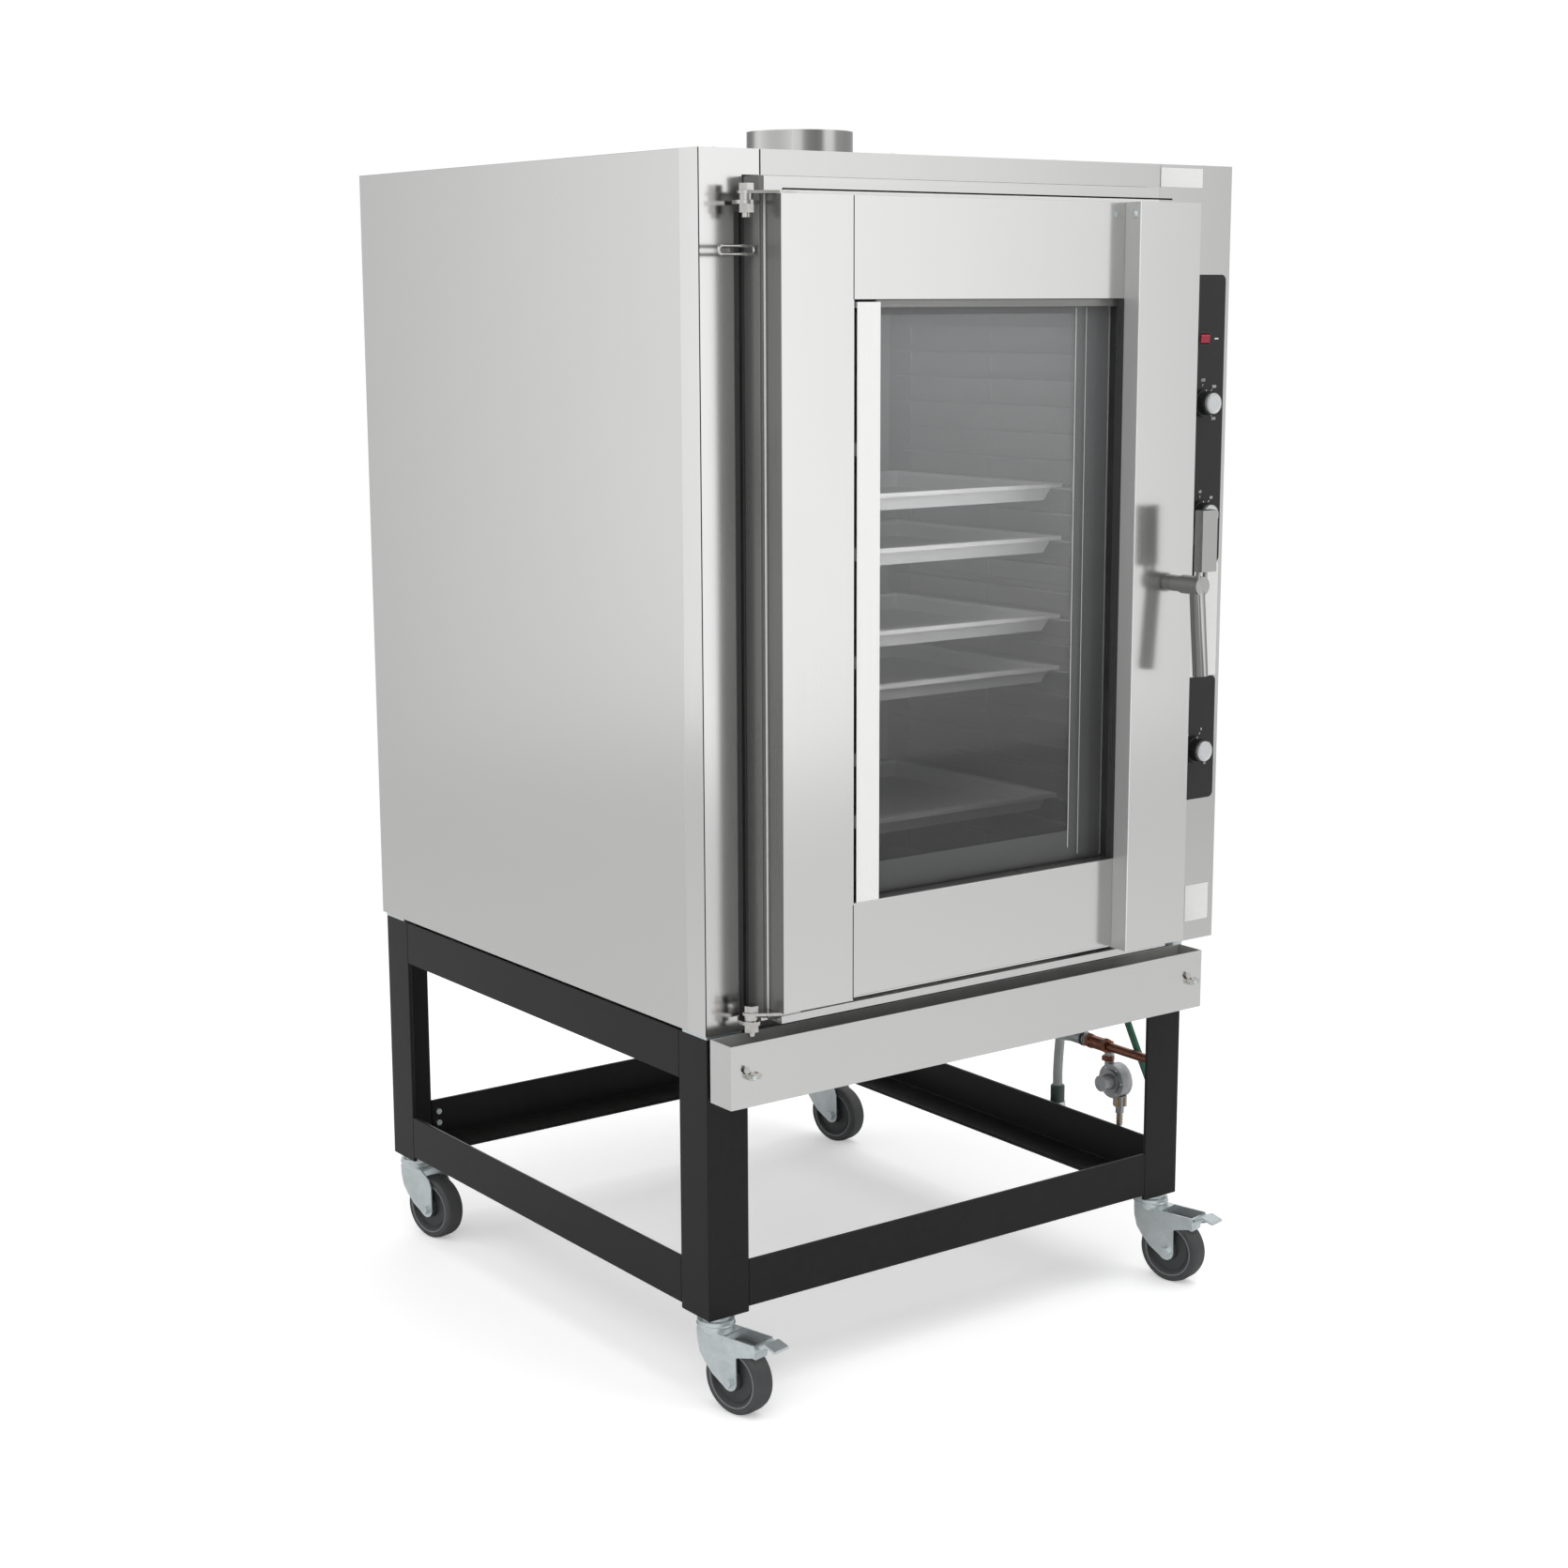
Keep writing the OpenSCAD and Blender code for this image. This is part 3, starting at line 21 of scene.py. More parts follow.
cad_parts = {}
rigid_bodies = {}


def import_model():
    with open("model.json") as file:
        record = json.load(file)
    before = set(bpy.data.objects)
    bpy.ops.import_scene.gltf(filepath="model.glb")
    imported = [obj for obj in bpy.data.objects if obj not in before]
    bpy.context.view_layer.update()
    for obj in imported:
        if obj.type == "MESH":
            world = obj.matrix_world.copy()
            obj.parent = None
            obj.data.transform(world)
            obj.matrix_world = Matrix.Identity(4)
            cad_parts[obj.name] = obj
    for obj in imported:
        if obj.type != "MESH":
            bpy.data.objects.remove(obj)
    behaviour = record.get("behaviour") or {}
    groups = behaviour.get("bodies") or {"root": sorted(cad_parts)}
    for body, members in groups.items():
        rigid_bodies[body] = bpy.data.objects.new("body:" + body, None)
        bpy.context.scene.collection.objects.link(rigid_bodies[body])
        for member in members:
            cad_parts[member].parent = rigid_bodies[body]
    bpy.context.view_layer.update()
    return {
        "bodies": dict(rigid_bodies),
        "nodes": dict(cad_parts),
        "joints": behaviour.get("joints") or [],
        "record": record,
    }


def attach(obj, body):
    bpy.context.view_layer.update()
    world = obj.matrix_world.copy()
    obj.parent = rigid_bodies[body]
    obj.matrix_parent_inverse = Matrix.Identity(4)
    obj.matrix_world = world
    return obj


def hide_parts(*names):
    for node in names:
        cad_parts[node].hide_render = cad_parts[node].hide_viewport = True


LOG = logging.getLogger("oven")
Triple = tuple[float, float, float]
Box = tuple[Triple, Triple]
Tree = bpy.types.NodeTree
Node = bpy.types.Node
Socket = bpy.types.NodeSocket
Piece = bpy.types.Object
Parts = list[Piece]

MM_PER_M = 1000
SAME_POINT = 1e-5
SAME_HEIGHT = 1e-6
FLAT_ANGLE = math.radians(1.0)
SMOOTH_ANGLE = math.radians(35.0)
ROUNDED_ANGLE = math.radians(40.0)
SCREW_DOME = 0.5
SCREW_SLOT = (1.2, 0.22, 0.45)
CASTOR_STEMS = {"front_left": (34.5, 31.0), "front_right": (893.5, 31.0),
                "rear_left": (34.5, 922.0), "rear_right": (893.5, 922.0)}


class Axis(Enum):
    """The direction a round piece points in, as the turn that brings Z there."""

    X = (0.0, math.pi / 2, 0.0)
    Y = (math.pi / 2, 0.0, 0.0)
    Z = (0.0, 0.0, 0.0)


class Grain(Enum):
    """How the brush marks of a sheet run, as noise scales along x, y and z."""

    UPRIGHT = (420.0, 420.0, 5.0)
    LEVEL = (5.0, 5.0, 420.0)
    ROLLED = (60.0, 60.0, 60.0)


class Look(Enum):
    """Every finish on the oven."""

    SIDE_SHEET = "side_sheet"
    DOOR_SHEET = "door_sheet"
    TRIM_SHEET = "trim_sheet"
    CHAMBER_SHEET = "chamber_sheet"
    # Painted highlight: near-white steel for edges, hems and strips.
    HIGHLIGHT_STRIP = "bright_strip"
    # Painted shade: darker steel for sides, reveals, folds and the window's sill, on this line and
    # the next two.
    SHADED_STEEL = "shaded_side_steel"
    SHADED_REVEAL = "dark_reveal"
    SHADED_SILL = "window_sill"
    TROUGH_INSIDE = "trough_inside"
    HINGE = "hinge_steel"
    GLASS_PRINT = "glass_border_print"
    SEAM = "seam_line"
    # Painted shade: the lever stile's side.
    SHADED_SIDE_FOLD = "stile_side_fold"
    FASCIA = "fascia_sheet"
    # Painted shade: the gap beside the hinge post, and the lever's back on the next line.
    SHADED_GAP_SIDE = "gap_side"
    SHADED_LEVER_BACK = "lever_back"
    POLISHED = "polished_lever"
    TRAY = "tray_aluminium"
    ZINC = "zinc_plate"
    STAND_PAINT = "stand_paint"
    MOTOR_PAINT = "motor_paint"
    CAST = "cast_governor"
    COPPER = "copper_pipe"
    BRASS = "brass_tail"
    HEAT_STEEL = "heat_tinted_steel"
    OVERLAY = "control_overlay"
    BLACK_PLASTIC = "knob_plastic"
    RED_PLASTIC = "rocker_plastic"
    CAP = "knob_cap"
    MARKS = "dial_marks"
    PLATE = "blank_plate"
    SEAL = "black_seal"
    TYRE = "castor_tyre"
    HUB = "castor_hub"
    GREY_HOSE = "grey_hose"
    GREEN_HOSE = "green_hose"
    SLEEVE = "dark_sleeve"
    WOOL = "mineral_wool"
    GLASS = "door_glass"


@dataclass(frozen=True)
class Finish:
    """One surface finish. Colours are linear, and bump is in metres."""

    colour: Triple
    worn: Triple
    metallic: float = 0.0
    roughness: tuple[float, float] = (0.4, 0.5)
    grain: Grain = Grain.ROLLED
    grain_amount: float = 0.3
    bump: float = 0.0
    smudge_scale: float = 4.0
    smudge_amount: float = 0.3
    dust: float = 0.0
    coat: float = 0.0
    speckle: float = 0.0
    gloss: float = 0.5


@dataclass(frozen=True)
class Glass:
    """What the door's glass has beside its finish: a painted reflection that lightens it towards
    its top, with heights in metres.
    """

    alpha: float = 0.2
    ior: float = 2.2
    reflection_grey: Triple = (0.4, 0.41, 0.42)
    reflection_starts_at: float = 0.95
    reflection_full_at: float = 1.6


UP, LEVEL, ROLLED = Grain.UPRIGHT, Grain.LEVEL, Grain.ROLLED
DUST_COLOUR = (0.5, 0.49, 0.46)
BUMP_STRENGTH = 0.6
LEAST_WEAR = 0.05

# In the order of Finish's fields: colour, worn colour, metallic, roughness and grain, and then the
# grain's amount, bump, the patches' scale and amount, and dust.
FINISHES: dict[Look, Finish] = {
    Look.SIDE_SHEET: Finish((0.67, 0.67, 0.665), (0.64, 0.64, 0.635), 1.0, (0.22, 0.25), UP, 0.12,
        1.5e-6, 1.3, 0.15, 0.03),
    Look.DOOR_SHEET: Finish((0.73, 0.73, 0.725), (0.7, 0.7, 0.695), 1.0, (0.16, 0.2), UP, 0.15,
        1.5e-6, 2.2, 0.15, 0.03),
    Look.TRIM_SHEET: Finish((0.69, 0.69, 0.685), (0.64, 0.64, 0.635), 1.0, (0.2, 0.25), LEVEL, 0.2,
        3e-6, 2.5, 0.2, 0.04),
    Look.CHAMBER_SHEET: Finish((0.52, 0.52, 0.515), (0.42, 0.42, 0.41), 0.75, (0.3, 0.42), LEVEL,
        0.25, 6e-6, 3.0, 0.4),
    # Painted highlight: near-white, half-metallic steel for edges, hems and strips.
    Look.HIGHLIGHT_STRIP: Finish((0.88, 0.88, 0.87), (0.8, 0.8, 0.79), 0.35, (0.3, 0.4), UP, 0.15,
        1e-5, 3.0, 0.1),
    # Painted shade: darker steel for sides that face away from the light, and for the lever's
    # shaft.
    Look.SHADED_STEEL: Finish((0.17, 0.17, 0.167), (0.12, 0.12, 0.118), 0.5, (0.2, 0.3), UP, 0.3,
        6e-6, 3.0, 0.3),
    # Painted shade: near-black steel for reveals and folds that stand in shade.
    Look.SHADED_REVEAL: Finish((0.07, 0.07, 0.07), (0.055, 0.055, 0.055), 0.4, (0.25, 0.35), UP, 0.3,
        6e-6, 5.0, 0.3),
    # Painted shade: darker steel for the window's sill and the band under the head rail.
    Look.SHADED_SILL: Finish((0.27, 0.27, 0.265), (0.2, 0.2, 0.195), 0.9, (0.25, 0.35), LEVEL, 0.3, 6e-6,
        5.0, 0.3),
    Look.TROUGH_INSIDE: Finish((0.5, 0.5, 0.49), (0.36, 0.36, 0.35), 0.35, (0.3, 0.42), LEVEL, 0.3,
        6e-6, 9.0, 0.5),
    Look.HINGE: Finish((0.66, 0.65, 0.63), (0.4, 0.39, 0.37), 1.0, (0.1, 0.22), ROLLED, 0.4, 1e-5,
        30.0, 0.5),
    Look.GLASS_PRINT: Finish((0.1, 0.102, 0.103), (0.08, 0.081, 0.082), 0.0, (0.3, 0.4), ROLLED,
        0.2, 0.0, 3.0, 0.4),
    Look.FASCIA: Finish((0.64, 0.64, 0.635), (0.6, 0.6, 0.595), 1.0, (0.14, 0.18), UP, 0.15, 1.5e-6,
        2.2, 0.15, 0.03),
    # Painted shade: the lever stile's side, darker and duller than the door sheet.
    Look.SHADED_SIDE_FOLD: Finish((0.42, 0.42, 0.418), (0.36, 0.36, 0.358), 0.2, (0.3, 0.4), UP, 0.3, 4e-6,
        3.0, 0.3),
    # Painted shade: near-black steel in the gap beside the hinge post.
    Look.SHADED_GAP_SIDE: Finish((0.06, 0.06, 0.058), (0.045, 0.045, 0.044), 0.4, (0.2, 0.3), UP, 0.3,
        4e-6, 3.0, 0.3),
    # Painted shade: rougher, slightly less metallic steel that dulls the lever's back.
    Look.SHADED_LEVER_BACK: Finish((0.5, 0.5, 0.495), (0.42, 0.42, 0.415), 0.9, (0.3, 0.4), UP, 0.3, 3e-6,
        9.0, 0.3),
    Look.SEAM: Finish((0.012, 0.012, 0.012), (0.025, 0.025, 0.025), 0.0, (0.6, 0.7), ROLLED, 0.4,
        0.0, 12.0, 0.4, gloss=0.1),
    Look.POLISHED: Finish((0.5, 0.5, 0.495), (0.44, 0.44, 0.435), 1.0, (0.1, 0.16), UP, 0.15, 3e-6,
        14.0, 0.25),
    Look.TRAY: Finish((0.9, 0.9, 0.9), (0.72, 0.72, 0.72), 0.6, (0.28, 0.45), LEVEL, 0.3, 1e-5, 6.0,
        0.4),
    Look.ZINC: Finish((0.74, 0.8, 0.81), (0.5, 0.55, 0.55), 0.8, (0.26, 0.42), ROLLED, 0.4, 3e-5,
        26.0, 0.45, 0.1, speckle=0.12),
    Look.STAND_PAINT: Finish((0.006, 0.006, 0.006), (0.014, 0.014, 0.014), 0.0, (0.3, 0.42), ROLLED,
        0.4, 4e-5, 3.5, 0.3, 0.04, speckle=0.15, gloss=0.22),
    Look.MOTOR_PAINT: Finish((0.2, 0.22, 0.24), (0.14, 0.15, 0.16), 0.2, (0.4, 0.55), ROLLED, 0.3,
        6e-5, 8.0, 0.35, 0.25, speckle=0.1),
    Look.CAST: Finish((0.5, 0.51, 0.52), (0.36, 0.37, 0.38), 1.0, (0.4, 0.55), ROLLED, 0.5, 0.00012,
        30.0, 0.4, 0.1, speckle=0.2),
    Look.COPPER: Finish((0.34, 0.14, 0.09), (0.16, 0.07, 0.05), 1.0, (0.3, 0.5), ROLLED, 0.5, 3e-5,
        22.0, 0.55, 0.1, speckle=0.2),
    Look.BRASS: Finish((0.62, 0.44, 0.2), (0.4, 0.27, 0.12), 1.0, (0.26, 0.42), ROLLED, 0.4, 2e-5,
        40.0, 0.45),
    Look.HEAT_STEEL: Finish((0.42, 0.36, 0.3), (0.2, 0.2, 0.26), 1.0, (0.4, 0.6), ROLLED, 0.5, 6e-5,
        7.0, 0.7, speckle=0.2),
    Look.OVERLAY: Finish((0.014, 0.014, 0.015), (0.022, 0.022, 0.022), 0.0, (0.32, 0.42), ROLLED,
        0.3, 2e-5, 16.0, 0.25, gloss=0.4),
    Look.BLACK_PLASTIC: Finish((0.012, 0.012, 0.012), (0.028, 0.028, 0.028), 0.0, (0.3, 0.45),
        ROLLED, 0.3, 3e-5, 30.0, 0.3),
    Look.RED_PLASTIC: Finish((0.36, 0.008, 0.035), (0.26, 0.006, 0.022), 0.0, (0.22, 0.32), ROLLED,
        0.2, 1e-5, 30.0, 0.2, coat=0.2),
    Look.CAP: Finish((0.7, 0.71, 0.72), (0.6, 0.61, 0.62), 0.75, (0.26, 0.36), LEVEL, 0.3, 1e-5,
        20.0, 0.2),
    Look.MARKS: Finish((0.82, 0.82, 0.8), (0.7, 0.7, 0.68), 0.0, (0.5, 0.6), ROLLED, 0.2, 0.0, 40.0,
        0.2),
    Look.PLATE: Finish((0.82, 0.82, 0.81), (0.72, 0.72, 0.71), 0.1, (0.35, 0.45), LEVEL, 0.2, 1e-5,
        14.0, 0.15),
    Look.SEAL: Finish((0.012, 0.012, 0.012), (0.03, 0.03, 0.03), 0.0, (0.55, 0.75), ROLLED, 0.4,
        1e-4, 18.0, 0.4, 0.1),
    Look.TYRE: Finish((0.036, 0.037, 0.039), (0.066, 0.067, 0.07), 0.0, (0.5, 0.7), ROLLED, 0.4,
        1e-4, 24.0, 0.5, 0.15, speckle=0.15),
    Look.HUB: Finish((0.03, 0.034, 0.035), (0.055, 0.058, 0.058), 0.0, (0.4, 0.55), ROLLED, 0.3,
        5e-5, 24.0, 0.4, 0.15),
    Look.GREY_HOSE: Finish((0.4, 0.41, 0.42), (0.3, 0.31, 0.31), 0.0, (0.4, 0.55), ROLLED, 0.3,
        5e-5, 18.0, 0.4, 0.1),
    Look.GREEN_HOSE: Finish((0.025, 0.14, 0.085), (0.02, 0.1, 0.06), 0.0, (0.28, 0.42), ROLLED, 0.3,
        3e-5, 18.0, 0.35, 0.08),
    Look.SLEEVE: Finish((0.045, 0.07, 0.06), (0.08, 0.1, 0.09), 0.0, (0.4, 0.55), ROLLED, 0.3, 4e-5,
        22.0, 0.4, 0.1),
    Look.WOOL: Finish((0.55, 0.5, 0.32), (0.42, 0.38, 0.25), 0.0, (0.8, 0.95), ROLLED, 0.8, 0.0008,
        30.0, 0.6),
    Look.GLASS: Finish((0.02, 0.021, 0.022), (0.03, 0.031, 0.032), 0.0, (0.03, 0.07), ROLLED, 0.05,
        0.0, 2.0, 0.3),
}

NODE_LOOKS: dict[Look, tuple[str, ...]] = {
    Look.SIDE_SHEET: ("side_panels", "back_panel", "roof_panel", "base_panel"),
    Look.DOOR_SHEET: ("door_hinge_stile", "door_lever_stile", "door_rails", "front_panels"),
    Look.TRIM_SHEET: ("drip_trough", "drip_rail", "door_pan", "chamber_frame"),
    Look.CHAMBER_SHEET: ("cavity_liner", "tray_rack", "fan_baffle", "fan_impeller"),
    # Painted highlight: the strip beside the glass in near-white steel.
    Look.HIGHLIGHT_STRIP: ("glass_strip",),
    Look.POLISHED: ("handle_lever", "flue_collar"),
    # Painted shade: the lever's shaft in darker steel.
    Look.SHADED_STEEL: ("lever_shaft",),
    Look.TRAY: tuple(f"tray_{number}" for number in range(1, 6)),
    Look.HINGE: ("hinge_brackets", "door_straps", "wing_nut_left", "wing_nut_right"),
    Look.ZINC: ("stand_fixings", "pedal_left", "pedal_right",
                *(f"fork_{corner}" for corner in CASTOR_STEMS)),
    Look.STAND_PAINT: ("stand_legs", "stand_rails"),
    Look.MOTOR_PAINT: ("fan_motor",),
    Look.CAST: ("gas_regulator",),
    Look.COPPER: ("gas_pipe",),
    Look.HEAT_STEEL: ("heat_exchanger",),
    Look.OVERLAY: ("control_overlay",),
    Look.BLACK_PLASTIC: ("control_units", "latch_keeper", "knob_1", "knob_2", "knob_3"),
    Look.RED_PLASTIC: ("rocker",),
    Look.SEAL: ("frame_seal", "door_gasket"),
    Look.TYRE: tuple(f"wheel_{corner}" for corner in CASTOR_STEMS),
    Look.GREY_HOSE: ("grey_hoses",),
    Look.GREEN_HOSE: ("green_tube",),
    Look.WOOL: ("insulation",),
    Look.GLASS: ("door_glass",),
}


def add_node(tree: Tree, kind: str, settings: dict[str, object] | None = None,
             **values: float | tuple[float, ...]) -> Node:
    """Adds a shader node, and sets its properties and then its sockets.

    Args:
        tree: where it goes.
        kind: its type, without ShaderNode.
        settings: its properties.
        values: its sockets' values, with _ for a space.

    Returns:
        The node.
    """
    node = tree.nodes.new(f"ShaderNode{kind}")
    for name, value in (settings or {}).items():
        setattr(node, name, value)
    for label, value in values.items():
        node.inputs[label.replace("_", " ")].default_value = value
    return node


def wire(tree: Tree, *links: tuple[Node, str | int, Node, str | int]) -> None:
    """Joins sockets.

    Args:
        tree: the nodes' tree.
        links: for each, the node it leaves, its output, the node it enters and its input.
    """
    for source, output, target, entry in links:
        tree.links.new(source.outputs[output], target.inputs[entry])


class PatternGroups:
    """The shader node groups that several finishes share."""

    def __init__(self) -> None:
        """Builds each group once."""
        self.grain = self._grain()
        self.smudges = self._smudges()
        self.dust = self._dust()
        self.speckle = self._speckle()

    @staticmethod
    def _start(name: str, amount: float, extra: dict[str, tuple[str, float | Triple]],
               outs: Sequence[str]) -> tuple[Tree, Node, Node]:
        """Makes an empty group with its sockets.

        Args:
            name: the group's name.
            amount: the default of its Amount.
            extra: inputs beside Vector and Amount, each with its type and default.
            outs: its outputs, which are all floats.

        Returns:
            The tree, its input node and its output node.
        """
        tree = bpy.data.node_groups.new(name, "ShaderNodeTree")
        ins = {"Vector": ("NodeSocketVector", (0, 0, 0)), **extra,
               "Amount": ("NodeSocketFloat", amount)}
        for label, (kind, default) in ins.items():
            socket = tree.interface.new_socket(label, in_out="INPUT", socket_type=kind)
            socket.default_value = default
        for label in outs:
            tree.interface.new_socket(label, in_out="OUTPUT", socket_type="NodeSocketFloat")
        return tree, tree.nodes.new("NodeGroupInput"), tree.nodes.new("NodeGroupOutput")

    @staticmethod
    def _mask(tree: Tree, end: Node, label: str, low: float, high: float,
              source: tuple[Node, str], *factors: tuple[Node, str]) -> None:
        """Puts out a smooth map of a value from low..high to 0..1, times some factors.

        Args:
            tree: the group.
            end: its output node.
            label: the output that gets the mask.
            low: what becomes 0.
            high: what becomes 1.
            source: the node whose value is mapped, and its output.
            factors: the nodes whose values it is multiplied by in turn, and their outputs.
        """
        mask = add_node(tree, "MapRange", {"interpolation_type": "SMOOTHSTEP"},
                        From_Min=low, From_Max=high)
        wire(tree, (*source, mask, "Value"))
        for factor in factors:
            times = add_node(tree, "Math", {"operation": "MULTIPLY"})
            wire(tree, (mask, 0, times, 0), (*factor, times, 1))
            mask = times
        wire(tree, (mask, 0, end, label))

    def _grain(self) -> Tree:
        """Brush marks: noise stretched along the sheet, as a tone and as a height.

        Returns:
            The group.
        """
        tree, start, end = self._start(
            "brush_marks", 0.5, {"Stretch": ("NodeSocketVector", (1, 1, 1))}, ("Tone", "Height"))
        scale = add_node(tree, "VectorMath", {"operation": "MULTIPLY"})
        noise = add_node(tree, "TexNoise", Scale=1.0, Detail=5.0, Roughness=0.65)
        wire(tree, (start, "Vector", scale, 0), (start, "Stretch", scale, 1),
             (scale, 0, noise, "Vector"), (noise, "Fac", end, "Height"))
        self._mask(tree, end, "Tone", 0.3, 0.72, (noise, "Fac"), (start, "Amount"))
        return tree

    def _smudges(self) -> Tree:
        """Broad uneven patches, as hands and wiping leave them.

        Returns:
            The group.
        """
        tree, start, end = self._start(
            "wiped_patches", 0.3, {"Scale": ("NodeSocketFloat", 4.0)}, ("Mask",))
        noise = add_node(tree, "TexNoise", Detail=3.0, Distortion=0.6)
        wire(tree, (start, "Vector", noise, "Vector"), (start, "Scale", noise, "Scale"))
        self._mask(tree, end, "Mask", 0.35, 0.7, (noise, "Fac"), (start, "Amount"))
        return tree

    def _dust(self) -> Tree:
        """Dust that settles on what faces up, broken by noise.

        Returns:
            The group.
        """
        tree, start, end = self._start("settled_dust", 0.1, {}, ("Mask",))
        facing = add_node(tree, "NewGeometry")
        split = add_node(tree, "SeparateXYZ")
        noise = add_node(tree, "TexNoise", Scale=35.0, Detail=4.0)
        wire(tree, (facing, "Normal", split, 0), (start, "Vector", noise, "Vector"))
        self._mask(tree, end, "Mask", 0.2, 0.9, (split, "Z"), (noise, "Fac"), (start, "Amount"))
        return tree

    def _speckle(self) -> Tree:
        """Fine spots, as in powder coat, plating and castings.

        Returns:
            The group.
        """
        tree, start, end = self._start("fine_spots", 0.1, {}, ("Mask",))
        cells = add_node(tree, "TexVoronoi", Scale=420.0)
        wire(tree, (start, "Vector", cells, "Vector"))
        self._mask(tree, end, "Mask", 0.1, 0.6, (cells, "Distance"), (start, "Amount"))
        return tree


class FinishBook:
    """Makes each material once and hands it out."""

    def __init__(self) -> None:
        """Builds the shared groups and every finish."""
        self.groups = PatternGroups()
        self.made: dict[Look, bpy.types.Material] = {look: self._make(look) for look in Look}

    def of(self, look: Look) -> bpy.types.Material:
        """The material of a look."""
        return self.made[look]

    def _make(self, look: Look) -> bpy.types.Material:
        """Builds one material from its finish.

        Args:
            look: which finish.

        Returns:
            The material, with grain, patches, spots and dust from the shared groups.
        """
        finish = FINISHES[look]
        material = bpy.data.materials.new(look.value)
        material.use_nodes = True
        tree = material.node_tree
        shader = tree.nodes["Principled BSDF"]
        place = add_node(tree, "TexCoord")
        constants = {"Metallic": finish.metallic, "Coat Weight": finish.coat,
                     "Specular IOR Level": finish.gloss}

        def group(which: Tree, **values: float | Triple) -> Node:
            """Places a shared group.

            Args:
                which: the group.
                values: its sockets' values.

            Returns:
                Its node.
            """
            node = add_node(tree, "Group", {"node_tree": which}, **values)
            wire(tree, (place, "Object", node, "Vector"))
            return node

        def mix(first: Socket | Triple, second: Triple, by: Socket) -> Socket:
            """Blends towards a second colour.

            Args:
                first: the colour, or the socket that gives it.
                second: the second colour.
                by: how far, from 0 to 1.

            Returns:
                The socket of the blend.
            """
            node = add_node(tree, "Mix", {"data_type": "RGBA"}, B=(*second, 1.0))
            if isinstance(first, tuple):
                node.inputs["A"].default_value = (*first, 1.0)
            else:
                tree.links.new(first, node.inputs["A"])
            tree.links.new(by, node.inputs["Factor"])
            return node.outputs["Result"]

        grain = group(self.groups.grain, Stretch=finish.grain.value, Amount=finish.grain_amount)
        patches = group(self.groups.smudges, Scale=finish.smudge_scale,
                        Amount=finish.smudge_amount)
        colour = mix(finish.colour, finish.worn, grain.outputs["Tone"])
        colour = mix(colour, finish.worn, patches.outputs["Mask"])
        if finish.speckle:
            spots = group(self.groups.speckle, Amount=finish.speckle)
            colour = mix(colour, finish.worn, spots.outputs["Mask"])
        if finish.dust:
            dust = group(self.groups.dust, Amount=finish.dust)
            colour = mix(colour, DUST_COLOUR, dust.outputs["Mask"])
        if look is Look.GLASS:
            glass = Glass()
            split = add_node(tree, "SeparateXYZ")
            # Painted reflection: the glass's colour turns lighter grey as it rises.
            rise = add_node(tree, "MapRange", From_Min=glass.reflection_starts_at, From_Max=glass.reflection_full_at)
            wire(tree, (place, "Object", split, 0), (split, "Z", rise, "Value"))
            colour = mix(colour, glass.reflection_grey, rise.outputs["Result"])
            constants |= {"Alpha": glass.alpha, "IOR": glass.ior}
        tree.links.new(colour, shader.inputs["Base Color"])
        most = max(LEAST_WEAR, finish.grain_amount + finish.smudge_amount)
        wear = add_node(tree, "Math")
        rough = add_node(tree, "MapRange", From_Max=most, To_Min=finish.roughness[0],
                         To_Max=finish.roughness[1])
        wire(tree, (grain, "Tone", wear, 0), (patches, "Mask", wear, 1),
             (wear, 0, rough, "Value"), (rough, "Result", shader, "Roughness"))
        if finish.bump:
            bump = add_node(tree, "Bump", Strength=BUMP_STRENGTH, Distance=finish.bump)
            wire(tree, (grain, "Height", bump, "Height"), (bump, "Normal", shader, "Normal"))
        for label, value in constants.items():
            shader.inputs[label].default_value = value
        return material


@contextmanager
def edit_mode() -> Iterator[None]:
    """Runs its block on the active object in edit mode.

    Yields:
        Nothing.
    """
    bpy.ops.object.mode_set(mode="EDIT")
    yield
    bpy.ops.object.mode_set(mode="OBJECT")


